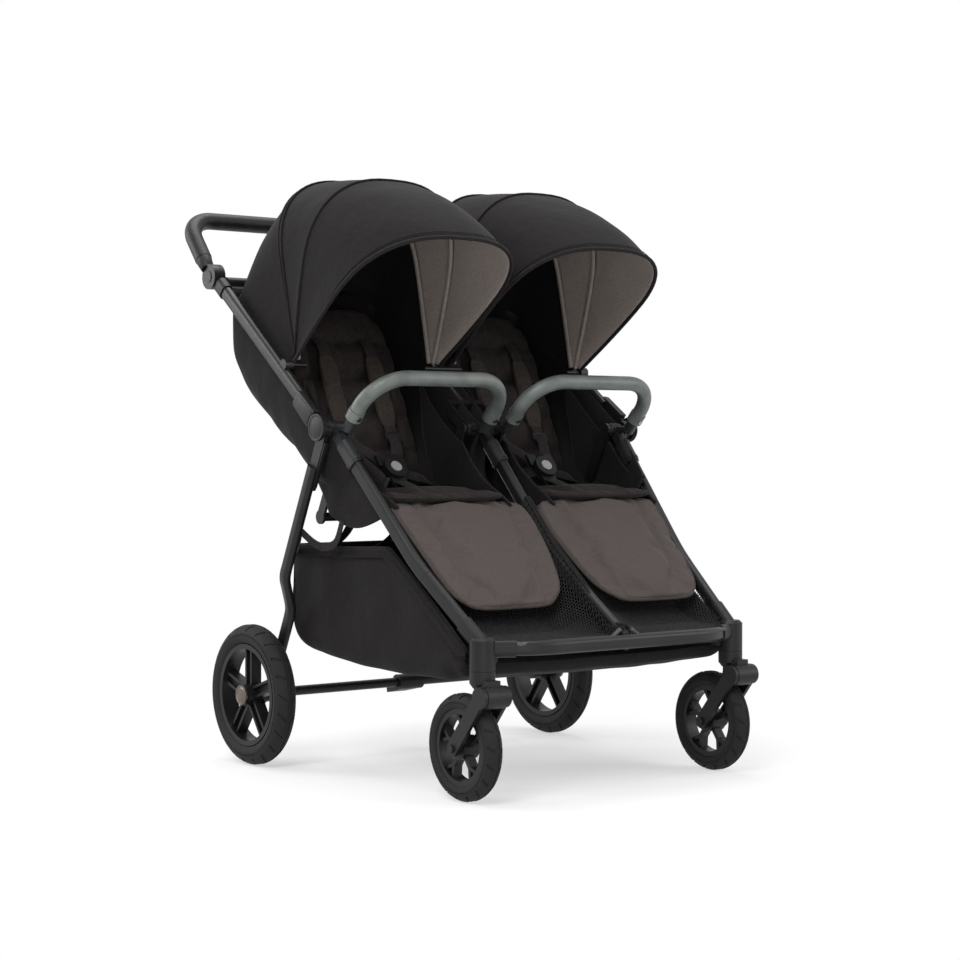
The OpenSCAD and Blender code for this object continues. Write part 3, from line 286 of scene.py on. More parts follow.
# Oxford: close and coated, a deep matt black with shallow creases.
CANOPY_OXFORD = weave("black_oxford_polyester", "121011", "191617", fold_strength=0.6)
# Twill: softer, so the same black has deeper creases.
TUB_TWILL = weave("black_twill_polyester", "110f10", "191617", fold=0.05, fold_strength=0.8)
# Taffeta: fine and smooth, with most sheen of all the cloths.
LINER_TAFFETA = weave("taupe_taffeta_liner", "857b76", "938983", thread=0.0016, fold=0.06, fold_strength=0.6,
                      sheen=0.2)
# Melange: yarns of two tones, seen as a fine speckle. Seats and shoulder pads have darker ones.
PAD_MELANGE = weave("taupe_melange_polyester", "443d3b", "524b48", thread=0.0018, mottle=0.0016, fold_strength=0.3)
SEAT_MELANGE = weave("dark_melange_polyester", "1e1a19", "2b2624", mottle=0.003, fold_strength=0.4)
HARNESS_PAD = weave("brown_black_melange", "2a2522", "38322d", mottle=0.003, fold_strength=0.3)
# Webbing and tapes: thick ribs, pulled flat, so hardly a crease.
WEBBING = weave("charcoal_webbing", "1e1c1c", "2c2929", thread=0.003, fold_strength=0.1)
BINDING = weave("black_binding_tape", "141213", "1f1c1d", thread=0.003, fold_strength=0.1)
PAD_PIPING = weave("taupe_piping_tape", "39332f", "48413d", thread=0.003, fold_strength=0.1)
GREY_BINDING = weave("grey_edge_tape", "4a4a4c", "5b5b5d", thread=0.003, fold_strength=0.1)
# Knitted yarn: dull black, its pattern comes from the holes.
NET_YARN = weave("black_net_yarn", "1b1a1b", "282728", thread=0.002, fold_strength=0.2)
print("Cloth finishes:", len(bpy.data.materials))

# %% [markdown]
# ### Hard finishes
# The tubes are aluminium with a black powder coat: satin, with a fine orange-peel grain of about 1 mm.
# Moulded nylon and ABS have a spark-eroded texture and a broader shine. The tyres are foamed rubber,
# dull and slightly mottled. The bumper bars and the push bar are covered in leatherette, with pebbles
# drawn at 1.8 mm, a little coarse. Small buttons are plated steel, and the hub caps lacquered steel.

# %% Hard finishes
def satin(name, dark, light, rough, grain, depth, **sockets):
    finish, shader, _, (tone, wear, peel) = start_finish(name, [(0.08, 3), (0.02, 3), (grain, 2)],
                                                         Roughness=rough, **sockets)
    return paint(finish, shader, tone, dark, light, [(peel, depth, 0.3)], (wear, rough - 0.06, rough + 0.08))


# Powder coat: a soft highlight along each tube, broken by the peel.
POWDER_COAT = satin("black_powder_coat", "101011", "181819", 0.4, 0.0011, 0.0002, Coat_Weight=0.06,
                    Coat_Roughness=0.3, Specular_IOR_Level=0.26)
# Nylon: a broad dull shine. The rims are glass filled and a little sleeker, the grey joints paler.
BLACK_NYLON = satin("black_moulded_nylon", "0f0f10", "161617", 0.46, 0.0008, 0.0002, Specular_IOR_Level=0.26)
RIM_NYLON = satin("black_glass_filled_nylon", "0e0e0f", "151516", 0.42, 0.0008, 0.0002, Specular_IOR_Level=0.26)
GREY_NYLON = satin("grey_moulded_nylon", "1b1c1d", "242527", 0.42, 0.0008, 0.0002, Specular_IOR_Level=0.3)
# ABS: pale and smooth, so a button stands out.
BUTTON_ABS = satin("light_grey_abs", "8a8b8d", "9a9b9d", 0.35, 0.0008, 0.0001)
# Foamed rubber: hardly any shine, with fine pores.
TYRE_FOAM = satin("black_foamed_rubber", "101010", "191919", 0.72, 0.0014, 0.0004, Specular_IOR_Level=0.26)
# Plated steel: bright. Lacquered steel: warmer and duller.
PLATED_STEEL = satin("plated_steel", "8b8986", "a19f9b", 0.3, 0.0006, 0.0001, Metallic=1.0)
CAP_STEEL = satin("taupe_lacquered_steel", "5e5651", "766d67", 0.4, 0.0006, 0.0001, Metallic=1.0)

# %% Leatherette
PEBBLE = 0.0018


def leatherette(name, dark, light, shine):
    """Pebbled vinyl: a grain of small cells over a slow unevenness."""
    finish, shader, place, (tone, wear, dents) = start_finish(
        name, [(0.03, 3), (0.015, 3), (0.012, 3)], Coat_Weight=0.03, Coat_Roughness=0.4, Specular_IOR_Level=shine)
    pebbles = add_node(finish, "TexVoronoi", {"Scale": 1 / PEBBLE}, {"Vector": place})
    return paint(finish, shader, tone, dark, light,
                 [(dents, 0.0008, 0.25), (pebbles.outputs["Distance"], 0.0006, 0.4)], (wear, 0.34, 0.48))


# The grain breaks up the highlight. The grip is black, and the bumper bars are a shinier grey.
PEBBLED_VINYL = leatherette("pebbled_grey_leatherette", "4c514e", "5c615e", 0.5)
GRIP_VINYL = leatherette("pebbled_black_leatherette", "0f1010", "171818", 0.24)

# %% Finish of each hard CAD part
PART_FINISH = {
    POWDER_COAT: "front_leg_* centre_tube front_bar seat_tubes seat_brackets upper_tube_* upper_centre_tube "
                 "upper_cross_tube handle_tube rear_leg_* rear_axle",
    BLACK_NYLON: "corner_posts hinge_pins handle_housings harness_buckles brake_pedal caster_* fork_*",
    RIM_NYLON: "rear_rim_* front_rim_*",
    GREY_NYLON: "side_hubs centre_hub swivel_lock_* handle_button_*",
    BUTTON_ABS: "buckle_button_*",
    PEBBLED_VINYL: "bumper_*",
    GRIP_VINYL: "handle_grip",
    PLATED_STEEL: "bumper_buttons_*",
}
dressed = set()
for finish, names in PART_FINISH.items():
    for name in sorted({name.replace("*", side) for name in names.split() for side in SIDES}):
        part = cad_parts[name]
        part.data.materials.clear()
        part.data.materials.append(finish)
        dressed.add(name)
print("Hard parts dressed:", len(dressed))

# %% [markdown]
# ## Ways to make cloth
# Cloth is a grid of points with a thickness, so the first helpers build a grid, add and apply a modifier,
# and give a piece its finish and its body. A strap or a piping is an outline that runs along a path.
# Both are kept as plain meshes at the origin, as the CAD parts are.

# %% Meshes and modifiers
def add_mesh(name, points, faces):
    mesh = bpy.data.meshes.new(name)
    mesh.from_pydata([tuple(p) for p in points], [], faces)
    mesh.update()
    obj = bpy.data.objects.new(name, mesh)
    bpy.context.collection.objects.link(obj)
    return obj


def pick(obj):
    bpy.ops.object.select_all(action="DESELECT")
    obj.select_set(True)
    bpy.context.view_layer.objects.active = obj
    return obj


def apply_modifier(obj, kind, **settings):
    m = pick(obj).modifiers.new(kind.title(), kind)
    for key, value in settings.items():
        setattr(m, key, value)
    bpy.ops.object.modifier_apply(modifier=m.name)
    return obj


def bevel(obj, width, segments, angle):
    return apply_modifier(obj, "BEVEL", width=width, segments=segments, limit_method="ANGLE",
                          angle_limit=radians(angle))


def open_edit(obj, choice="SELECT"):
    pick(obj)
    bpy.ops.object.mode_set(mode="EDIT")
    bpy.ops.mesh.select_all(action=choice)


def close_edit():
    bpy.ops.object.mode_set(mode="OBJECT")
    return bpy.context.object


def face_outwards(obj):
    open_edit(obj)
    bpy.ops.mesh.normals_make_consistent(inside=False)
    return close_edit()


def dress(obj, finish, body=None):
    if not obj.data.materials:
        obj.data.materials.append(finish)
    obj.data.polygons.foreach_set("use_smooth", [True] * len(obj.data.polygons))
    if body:
        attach(obj, body)
    return obj


def quads(nu, nv, close_u=False, close_v=False):
    faces = []
    for i in range(nu if close_u else nu - 1):
        for j in range(nv if close_v else nv - 1):
            i2, j2 = (i + 1) % nu, (j + 1) % nv
            faces.append((i * nv + j, i * nv + j2, i2 * nv + j2, i2 * nv + j))
    return faces


def sew_cloth(name, rows, thick, finish, body=None, lining=None):
    """Cloth over rows of points. The lining is on the side that the faces turn away from.
    """
    obj = add_mesh(name, [p for row in rows for p in row], quads(len(rows), len(rows[0])))
    for material in (finish, lining) if lining else (finish,):
        obj.data.materials.append(material)
    apply_modifier(obj, "SUBSURF", levels=1, render_levels=1)
    apply_modifier(obj, "SOLIDIFY", thickness=thick, offset=-1.0, material_offset=1 if lining else 0)
    dress(obj, finish, body)
    return obj


# %% Straps and pipings
def curve_through(points, steps):
    ends = [points[0] * 2 - points[1], *points, points[-1] * 2 - points[-2]]
    out = []
    for a, b, c, d in zip(ends, ends[1:], ends[2:], ends[3:]):
        for k in range(steps):
            t = k / steps
            out.append(0.5 * (2 * b + (c - a) * t + (2 * a - 5 * b + 4 * c - d) * t * t
                              + (3 * b - a - 3 * c + d) * t ** 3))
    return [*out, points[-1]]


def run_along(name, path, outline, up, finish, body="chassis"):
    """Runs an outline of (side, normal) pairs along a path. up is one direction, or one for each point."""
    rows = []
    for i, p in enumerate(path):
        way = (path[min(i + 1, len(path) - 1)] - path[max(i - 1, 0)]).normalized()
        side = way.cross(up[i] if isinstance(up, list) else up).normalized()
        normal = side.cross(way).normalized()
        rows.append([p + side * a + normal * b for a, b in outline])
    n = len(outline)
    faces = quads(len(rows), n, close_v=True)
    faces += [tuple(reversed(range(n))), tuple(range((len(rows) - 1) * n, len(rows) * n))]
    obj = face_outwards(add_mesh(name, [p for row in rows for p in row], faces))
    return dress(obj, finish, body)


def round_outline(r, flat=1.0, n=10):
    return [(r * cos(2 * pi * k / n), r * flat * sin(2 * pi * k / n)) for k in range(n)]


def band_outline(width, thick):
    a, b = width / 2, thick / 2
    return [(-a, 0), (-a + b, b), (0, b * 1.15), (a - b, b), (a, 0), (a - b, -b), (0, -b * 1.15), (-a + b, -b)]


def ripple(p, size, amount, seed=0.0):
    """Smooth fold at a point, the same on every run."""
    return amount * noise.noise(Vector((p.x / size + seed, p.y / size, p.z / size - seed)))


# %% [markdown]
# ## Canopies
# Each canopy is one cloth over three sprung bows that turn on a pin by the upper tube. A bow is an arch:
# straight at its feet, round over the child's head. The cloth is lofted through the bows, with a little
# slack between them. Its front and middle panels are baked in place and ride on no body, and the rear
# panel rides on the upper frame. The inside of the front and middle panels is the pale liner, and of the
# rear panel twill, from the material offset of the thickness. Behind the last bow the cloth runs down to
# the square rim of the tub.

# %% Arch of cloth at one bow angle
BOW_ANGLE = {"front": 36.2, "mid": 76, "rear": 103, "end": 146}
ARCH_REACH = [(36, 0.366), (56, 0.357), (76, 0.346), (90, 0.350), (103, 0.357), (125, 0.336), (146, 0.290)]
ARCH_INSET = [(36, 0.0), (76, 0.004), (103, 0.010), (125, 0.008), (146, 0.002)]
ARCH_ROUND = [(36, 0.170), (76, 0.170), (103, 0.165), (125, 0.135), (146, 0.085)]
ARCH_FLARE = [(36, 0.0115), (76, 0.008), (103, 0.003), (146, 0.0)]
ARCH_FOOT = 0.011
ARCH_INNER, ARCH_OUTER = 0.014, 0.337
LEG_STEPS, TOP_STEPS = 7, 32


def signed_power(c, power):
    return copysign(abs(c) ** power, c)


def arch_line(shoulder, rise, middle, half, flare, height_power, outer_power, inner_power):
    """From the outer foot over the head to the inner foot, as pairs of reach and x."""
    quarter = pi / 2 / LEG_STEPS
    line = [(between(ARCH_FOOT, shoulder, k / LEG_STEPS), middle + half + flare * sin(quarter * k))
            for k in range(LEG_STEPS)]
    half += flare
    for k in range(TOP_STEPS + 1):
        c, h = cos(pi * k / TOP_STEPS), sin(pi * k / TOP_STEPS)
        x = middle + half * signed_power(c, outer_power if c > 0 else inner_power)
        line.append((shoulder + rise * h ** height_power, x))
    return line + [(between(shoulder, ARCH_FOOT, k / LEG_STEPS),
                    middle - half + flare * (1 - cos(quarter * k))) for k in range(1, LEG_STEPS + 1)]


def arch(s, angle, grow=0.0, slack=0.0):
    inset = read_table(angle, ARCH_INSET) - grow + slack * 0.3
    rise = read_table(angle, ARCH_ROUND)
    line = arch_line(read_table(angle, ARCH_REACH) + grow - slack - rise, rise, (ARCH_OUTER + ARCH_INNER) / 2,
                     (ARCH_OUTER - ARCH_INNER) / 2 - inset, read_table(angle, ARCH_FLARE), 0.80, 0.80, 0.74)
    a = radians(angle)
    return [Vector((s * x, CANOPY_PIVOT.y - r * cos(a), CANOPY_PIVOT.z + r * sin(a)))
            for r, x in line]


def canopy_rows(s, a1, a2, steps, slack):
    rows = []
    for i in range(steps + 1):
        bow = sin(pi * i / steps)
        row = arch(s, between(a1, a2, i / steps), slack=slack * bow ** 0.8)
        middle = sum(row, Vector()) / len(row)
        row = [p + (p - middle).normalized() * ripple(p, 0.06, 0.0022 * bow, 3.0 * s) for p in row]
        rows.append(row if s < 0 else row[::-1])
    return rows


# %% Rim of the tub
RIM_REACH, RIM_DROP = 0.2, 0.052
RIM_INNER, RIM_OUTER = 0.014, 0.339
PIVOT_RUN = 0.168


def tub_rim(s):
    """The nearly square line on the upper tubes where the canopy is snapped to the tub."""
    line = arch_line(RIM_REACH, RIM_DROP, (RIM_OUTER + RIM_INNER) / 2, (RIM_OUTER - RIM_INNER) / 2, 0.0,
                     0.35, 0.35, 0.35)
    row = [on_slope(HINGE, UPPER_SLOPE, PIVOT_RUN + r, -0.004, s * x) for r, x in line]
    return row if s < 0 else row[::-1]


# %% Canopy panels
CANOPY_THICK = 0.002


def bow_body(bow, side):
    return "upper_frame" if bow == "rear" else f"canopy_{bow}_{side}"


for side, s in SIDES.items():
    for bow, next_bow, steps, slack, lining in (("front", "mid", 10, 0.007, LINER_TAFFETA),
                                                ("mid", "rear", 8, 0.005, LINER_TAFFETA),
                                                ("rear", "end", 10, 0.006, TUB_TWILL)):
        rows = canopy_rows(s, BOW_ANGLE[bow], BOW_ANGLE[next_bow], steps, slack)
        if bow == "rear":
            rows += [[between(p, q, k / 3) for p, q in zip(rows[-1], tub_rim(s))] for k in (1, 2, 3)]
        panel = sew_cloth(f"canopy_{bow}_cloth_{side}", rows, CANOPY_THICK, CANOPY_OXFORD,
                          "upper_frame" if bow == "rear" else None, lining)
        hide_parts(f"canopy_{bow}_{side}")
        if bow != "rear":
            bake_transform(panel)

# %% [markdown]
# ### Canopy trims
# A bound edge stiffens the front. A piping covers the seam at the middle bow, and a zip lies at the rear
# bow: two cords with a row of teeth between. Inside, each bow runs in a narrow sleeve of liner. They are
# round or flat outlines run along the arch of their bow, and they ride on that bow's body.

# %% Canopy trims
for side, s in SIDES.items():
    heart = Vector((s * SEAT_MID, CANOPY_PIVOT.y, CANOPY_PIVOT.z))
    for stem, bow, turn, r, flat, grow, finish in (
        ("canopy_edge_binding", "front", -0.2, 0.0040, 0.9, 0.0004, BINDING),
        ("canopy_edge_stitch", "front", 2.0, 0.0009, 0.8, 0.0004, BINDING),
        ("canopy_mid_piping", "mid", 0.0, 0.0024, 1.0, 0.0012, BINDING),
        ("canopy_zip_front", "rear", -0.9, 0.0022, 1.0, 0.0010, BINDING),
        ("canopy_zip_rear", "rear", 1.3, 0.0022, 1.0, 0.0010, BINDING),
        ("canopy_zip_teeth", "rear", 0.2, 0.0030, 0.5, -0.0002, BLACK_NYLON),
        ("canopy_mid_sleeve", "mid", 0.0, 0.0050, 0.7, -0.0060, LINER_TAFFETA),
        ("canopy_rear_sleeve", "rear", 0.0, 0.0050, 0.7, -0.0060, LINER_TAFFETA),
    ):
        path = arch(s, BOW_ANGLE[bow] + turn, grow)
        run_along(f"{stem}_{side}", path, round_outline(r, flat), [(p - heart).normalized() for p in path],
                  finish, bow_body(bow, side))
print("Canopy trims made")

# %% [markdown]
# ## Pads
# Seat, back and calf pads are foam in a sewn cover. A pad starts as two grids that share their edge.
# Blender's cloth then blows it up a little with the edge and the sewn channels pinned, so the cover
# swells between the seams and puckers beside them, which a smooth modelled crown doesn't do.

# %% Sewn pad
CROWN = 0.28
SEAM_RISE = (0.36, 0.72, 0.93)


def sewn_pad(name, outline, thick, back, nx, ny, channels, place, cross=()):
    """Two grids over a unit square. Returns the mesh and the points that the thread holds.

    SEAM_RISE is how much of the thickness is left on a seam and on the two rows beside it.
    """
    points, held, index = [], [], {}
    columns = {round(u * nx) for u in channels}
    lines = {round(v * ny) for v in cross}
    for top in (True, False):
        for i in range(nx + 1):
            for j in range(ny + 1):
                edge = i in (0, nx) or j in (0, ny)
                if edge and not top:
                    index[top, i, j] = index[True, i, j]
                    continue
                u, v = i / nx, j / ny
                swell = (sin(pi * u) * sin(pi * v)) ** CROWN
                near = min([abs(i - c) for c in columns] + [abs(j - c) for c in lines] + [len(SEAM_RISE)])
                sewn = (*SEAM_RISE, 1.0)[near]
                index[top, i, j] = len(points)
                if edge or not top or near == 0:
                    held.append(len(points))
                points.append(place(*outline(u, v), thick * swell * sewn if top else -back * swell))
    faces = []
    for top in (True, False):
        for i in range(nx):
            for j in range(ny):
                quad = (index[top, i, j], index[top, i + 1, j], index[top, i + 1, j + 1], index[top, i, j + 1])
                faces.append(quad if top else quad[::-1])
    return face_outwards(add_mesh(name, points, faces)), held


# %% Pressure inside the cover
def blow_up(obj, held, pressure, cap, frames=16):
    """Cloth simulation with the thread held. No point moves further than the cap."""
    before = [v.co.copy() for v in obj.data.vertices]
    group = obj.vertex_groups.new(name="thread")
    group.add(held, 1.0, "REPLACE")
    m = pick(obj).modifiers.new("Cloth", "CLOTH")
    for key, value in {"quality": 6, "mass": 0.25, "tension_stiffness": 18, "compression_stiffness": 18,
                       "shear_stiffness": 8, "bending_stiffness": 0.6, "use_pressure": True,
                       "uniform_pressure_force": pressure, "shrink_min": -0.06,
                       "vertex_group_mass": group.name}.items():
        setattr(m.settings, key, value)
    m.settings.effector_weights.gravity = 0
    m.collision_settings.use_collision = False
    for f in range(1, frames + 1):
        bpy.context.scene.frame_set(f)
    bpy.ops.object.modifier_apply(modifier=m.name)
    bpy.context.scene.frame_set(1)
    for v, start in zip(obj.data.vertices, before):
        move = v.co - start
        if move.length > cap:
            v.co = start + move.normalized() * cap


# %% Pairs of pads
def copy_of(obj, name):
    copy = obj.copy()
    copy.data = obj.data.copy()
    copy.name = copy.data.name = name
    bpy.context.collection.objects.link(copy)
    return copy


def mirror_copy(obj, name):
    copy = copy_of(obj, name)
    for v in copy.data.vertices:
        v.co.x = -v.co.x
    return face_outwards(copy)


def finish_pads(stem, left, finish, body, nodes):
    """One pad on the left, its mirror image on the right. nodes are the CAD parts they stand for."""
    apply_modifier(left, "SUBSURF", levels=1, render_levels=1)
    for side, obj in (("left", left), ("right", mirror_copy(left, f"{stem}_right"))):
        dress(obj, finish, body.format(side))
        if side in nodes:
            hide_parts(nodes[side])


def soft_rectangle(u, v, left, right, length, corner):
    """Unit square to a plate between two edges of v, with its corners drawn in."""
    a, b = 2 * u - 1, 2 * v - 1
    pull = corner * (abs(a) * abs(b)) ** 5
    x = between(left(v), right(v), u) - copysign(pull, a)
    return x, length * v - copysign(pull, b)


# %% Calf pads
CALF_LENGTH = 0.256
CALF_TOP, CALF_FOOT = (0.013, 0.305), (0.054, 0.274)
CALF_EAR = 0.013
PUCKER, PUCKER_SPACING = 0.0013, 0.021


def calf_outline(u, v):
    return soft_rectangle(u, v, lambda t: between(CALF_TOP[0], CALF_FOOT[0], t ** 2.4),
                          lambda t: between(CALF_TOP[1], CALF_FOOT[1], t) + CALF_EAR * max(0.0, 1 - t / 0.25) ** 2,
                          CALF_LENGTH, 0.016)


def calf_place(x, y, h):
    """Rolled over the seat's edge at the top, and puckered by the seam near the foot."""
    roll = 0.010 * max(0.0, 1 - y / 0.03) ** 2
    if h > 0.002:
        near_foot = max(0.0, (y - 0.19) / 0.066) * max(0.0, (0.262 - y) / 0.072)
        h += PUCKER * sin(x * tau / PUCKER_SPACING) * near_foot
    return on_slope(SEAT_FRONT, CALF_SLOPE, y - 0.024, -(0.0085 + h - roll), x)


calf, held = sewn_pad("calf_pad_left", calf_outline, 0.0145, 0.011, 46, 42, (0.17, 0.83), calf_place)
blow_up(calf, held, 2.5, 0.007)
finish_pads("calf_pad", calf, PAD_MELANGE, "calf_rest_{}",
            {"left": "calf_rest_left", "right": "calf_rest_right"})

# %% Calf pad pipings
around = [(0, v / 20) for v in range(1, 20)] + [(u / 16, 1) for u in range(1, 16)]
around += [(1, 1 - v / 20) for v in range(1, 20)]
edge = [calf_place(*calf_outline(u, v), 0.001) for u, v in around]
for side, s in SIDES.items():
    run_along(f"calf_pad_piping_{side}", [Vector((s * p.x, p.y, p.z)) for p in edge], round_outline(0.0032),
              Vector((0, -0.7071, 0.7071)), PAD_PIPING, f"calf_rest_{side}")
print("Calf pads:", CALF_LENGTH)

# %% Seat cushions
SEAT_TILT = atan2(SEAT_REAR.z - SEAT_FRONT.z, SEAT_REAR.y - SEAT_FRONT.y)
PAD_INNER, PAD_OUTER = 0.054, 0.298


def seat_outline(u, v):
    return soft_rectangle(u, v, lambda t: PAD_INNER, lambda t: PAD_OUTER, 0.228, 0.008)


def seat_place(x, y, h):
    return on_slope(SEAT_FRONT, SEAT_TILT, y - 0.019, 0.026 + h, x)


seat, held = sewn_pad("seat_cushion_left", seat_outline, 0.017, 0.012, 36, 32, (0.2, 0.8), seat_place, (0.5,))
blow_up(seat, held, 3.0, 0.006)
finish_pads("seat_cushion", seat, SEAT_MELANGE, "chassis", {"left": "seat_pads"})

# %% Back cushions
def back_outline(u, v):
    return soft_rectangle(u, v, lambda t: PAD_INNER + 0.010 * t ** 4, lambda t: PAD_OUTER - 0.010 * t ** 4,
                          0.375, 0.02)


def back_place(x, y, h):
    return on_slope(SEAT_REAR, BACK_SLOPE, y + 0.05, h, x)


back, held = sewn_pad("back_cushion_left", back_outline, 0.021, 0.010, 36, 50, (0.2, 0.8), back_place,
                      (0.2, 0.4, 0.6, 0.8))
blow_up(back, held, 3.0, 0.007)
finish_pads("back_cushion", back, SEAT_MELANGE, "backrest_{}",
            {"left": "backrest_left", "right": "backrest_right"})
print("Seat and back cushions sewn")

# %% [markdown]
# ## Fabric tubs
# Behind each seat hangs a deep bag of twill, sewn to the upper tubes and open to the child. It is lofted
# from U-shaped sections across the tube's direction. The bag is baked in place on no body, and its bound
# hem rides on the chassis.

# %% Fabric tubs
TUB_DEPTH = [(-0.187, 0.072), (-0.1085, 0.110), (0.008, 0.132), (0.0855, 0.131), (0.169, 0.142),
             (0.2526, 0.151), (0.3215, 0.147), (0.3635, 0.118), (0.3795, 0.096), (0.398, 0.044),
             (0.412, 0.016), (0.424, -0.001), (0.43, -0.006)]
TUB_INNER, TUB_OUTER = 0.0144, 0.340
TUB_END = 0.430
TUB_SQUARE = 0.42
TUB_ROWS, TUB_COLUMNS = 36, 40


def tub_point(s, r, u):
    """Point at r along the upper tube and u round the section, from the outer rim to the inner one."""
    c, h = cos(pi * u), sin(pi * u)
    outer = TUB_OUTER + 0.30 * min(r, 0.0)
    x = (outer + TUB_INNER) / 2 + (outer - TUB_INNER) / 2 * signed_power(c, TUB_SQUARE)
    rim = between(-0.014, -0.004, (1 + c) / 2)
    depth = rim + (read_table(r, TUB_DEPTH) - rim) * h ** TUB_SQUARE
    p = on_slope(HINGE, UPPER_SLOPE, r, -depth, s * x)
    fold = ripple(p, 0.045, 0.0045, 5.0) + ripple(p, 0.018, 0.0014, 2.0)
    return p + Vector((s * c, 0.6 * h, -0.8 * h)) * fold * min(1.0, 4 * h)


def tub_start(u):
    """The bag begins lower at the outer side than between the seats."""
    return between(-0.15, -0.01, max(0.0, (u - 0.45) / 0.55) ** 0.8)


across = [j / TUB_COLUMNS for j in range(TUB_COLUMNS + 1)]
for side, s in SIDES.items():
    rows = [[tub_point(s, between(tub_start(u), TUB_END, i / TUB_ROWS), u) for u in across]
            for i in range(TUB_ROWS + 1)]
    rows = [row if s > 0 else row[::-1] for row in rows]
    tub = sew_cloth(f"seat_tub_cloth_{side}", rows, 0.002, TUB_TWILL)
    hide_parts(f"seat_tub_{side}")
    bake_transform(tub)
    hem = [tub_point(s, tub_start(u), u) + Vector((0, -0.001, 0)) for u in across]
    run_along(f"seat_tub_hem_{side}", hem, round_outline(0.003), Vector((0, -1, 0)), BINDING)
print("Tub depth at the seat:", read_table(0.0, TUB_DEPTH))

# %% [markdown]
# ## Side wings
# Black cloth closes both sides of each seat, from the hinge down to the calf rest. Its front edge is
# piped and hangs in a shallow curve. A wing is a grid between that edge and the backrest's edge, with
# slack in the middle. The outer wing lies inside the lower tube.

# %% Side wings
WING_FRONT = [(-0.040, 0.597), (-0.075, 0.556), (-0.118, 0.523), (-0.160, 0.500), (-0.187, 0.484)]
WING_BACK = [(0.094, 0.716), (0.085, 0.640), (0.064, 0.560), (0.030, 0.505), (0.0075, 0.468)]
WING_SAG = 0.030


def leg_x(y):
    """Middle of the lower side tube, which runs inwards to the front."""
    return 0.3275 + (y + 0.0334) * 0.125


def wing_rows(s, place_x):
    front = curve_through([Vector((0, *p)) for p in WING_FRONT], 5)
    rear = curve_through([Vector((0, *p)) for p in WING_BACK], 5)
    rows = []
    for f, b in zip(front, rear):
        row = []
        for k in range(17):
            t = k / 16
            p = between(b, f, t)
            p.z -= WING_SAG * sin(pi * t) * (1 if f.z < 0.49 else 0.25)
            p.x = s * (place_x(p.y) + 0.004 * sin(pi * t) + ripple(p, 0.05, 0.004, 8.0))
            row.append(p)
        rows.append(row)
    return rows


for side, s in SIDES.items():
    for place, place_x in (("outer", lambda y: min(0.3085, leg_x(y) - 0.0105)), ("inner", lambda y: 0.0515)):
        rows = wing_rows(s, place_x)
        sew_cloth(f"{place}_wing_{side}", rows, 0.0014, TUB_TWILL, "chassis")
        run_along(f"{place}_wing_piping_{side}", [row[-1] for row in rows], round_outline(0.0027),
                  Vector((s, 0, 0)), BINDING)
print("Side wings: 4")

# %% [markdown]
# ## Basket
# The basket is a wide bag of oxford cloth under the seats. Sections across it hang from two upper edges
# and sag in the middle, and the lower corners are round, as cloth never makes a box. The hem round
# the mouth is bound.

# %% Basket sections
BASKET_HALF = 0.295
BASKET_FRONT, BASKET_BACK = -0.376, 0.149
BASKET_TOP = 0.400
BASKET_RIM = [(-0.376, 0.244), (-0.233, 0.352), (-0.151, 0.406), (0.0, 0.400), (0.152, 0.400)]
BASKET_FLOOR = [(-0.376, 0.230), (-0.364, 0.212), (-0.310, 0.199), (-0.193, 0.195), (-0.038, 0.200),
                (0.06, 0.208), (0.12, 0.217), (0.142, 0.226), (0.149, 0.234)]
BASKET_SECTIONS, BASKET_WALL = 44, 7


def basket_section(y):
    """Half a section from the middle of the floor up the side, then both halves, then the folds."""
    rim, low = read_table(y, BASKET_RIM), read_table(y, BASKET_FLOOR)
    height = max(rim - low, 0.002)
    soft = min(0.032, height * 0.5)
    half = [(between(0, BASKET_HALF - soft, k / 12), low - 0.004 * (1 - (k / 12) ** 2)) for k in range(12)]
    for k in range(7):
        t = pi / 2 * k / 6
        half.append((BASKET_HALF - soft + soft * sin(t), low + soft * (1 - cos(t))))
    for k in range(1, 9):
        t = k / 8
        half.append((BASKET_HALF - 0.004 * sin(pi * t), between(low + soft, rim, t)))
    points = [Vector((-x, y, z)) for x, z in half[:0:-1]] + [Vector((x, y, z)) for x, z in half]
    for p in points:
        slack = max(0.0, min(1.0, (rim - p.z) / 0.04))
        p.x += slack * (ripple(p, 0.07, 0.004, 9.0) + ripple(p, 0.025, 0.0012, 4.0))
        p.z += slack * ripple(p, 0.06, 0.003, 1.0)
    return points


basket_rows = [basket_section(between(BASKET_FRONT, BASKET_BACK, i / BASKET_SECTIONS))
               for i in range(BASKET_SECTIONS + 1)]
for k in range(1, BASKET_WALL + 1):
    bulge = BASKET_BACK + 0.003 * sin(pi * k / BASKET_WALL)
    basket_rows.append([Vector((p.x, bulge, between(p.z, BASKET_TOP, k / BASKET_WALL)))
                        for p in basket_rows[BASKET_SECTIONS]])
print("Basket sections:", len(basket_rows))

# %% Basket cloth and hem
basket = sew_cloth("basket_cloth", basket_rows, 0.0022, CANOPY_OXFORD, "chassis")
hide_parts("basket")
side_rows = basket_rows[:BASKET_SECTIONS + 1]
rim = [row[0] for row in side_rows] + basket_rows[-1] + [row[-1] for row in side_rows[::-1]]
rim_path = [p for i, p in enumerate(rim) if i == 0 or (p - rim[i - 1]).length > 0.004]
hem = run_along("basket_hem", rim_path, band_outline(0.004, 0.018), Vector((0, 0, 1)), BINDING)
for piece in (basket, hem):
    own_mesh(piece)
print("Hem points:", len(rim_path))


# %% Basket straps
def basket_web(name, points, width, up):
    path = curve_through([Vector(p) for p in points], 6)
    web = run_along(name, path, band_outline(width, 0.0016), Vector(up), WEBBING)
    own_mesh(web)
    return web


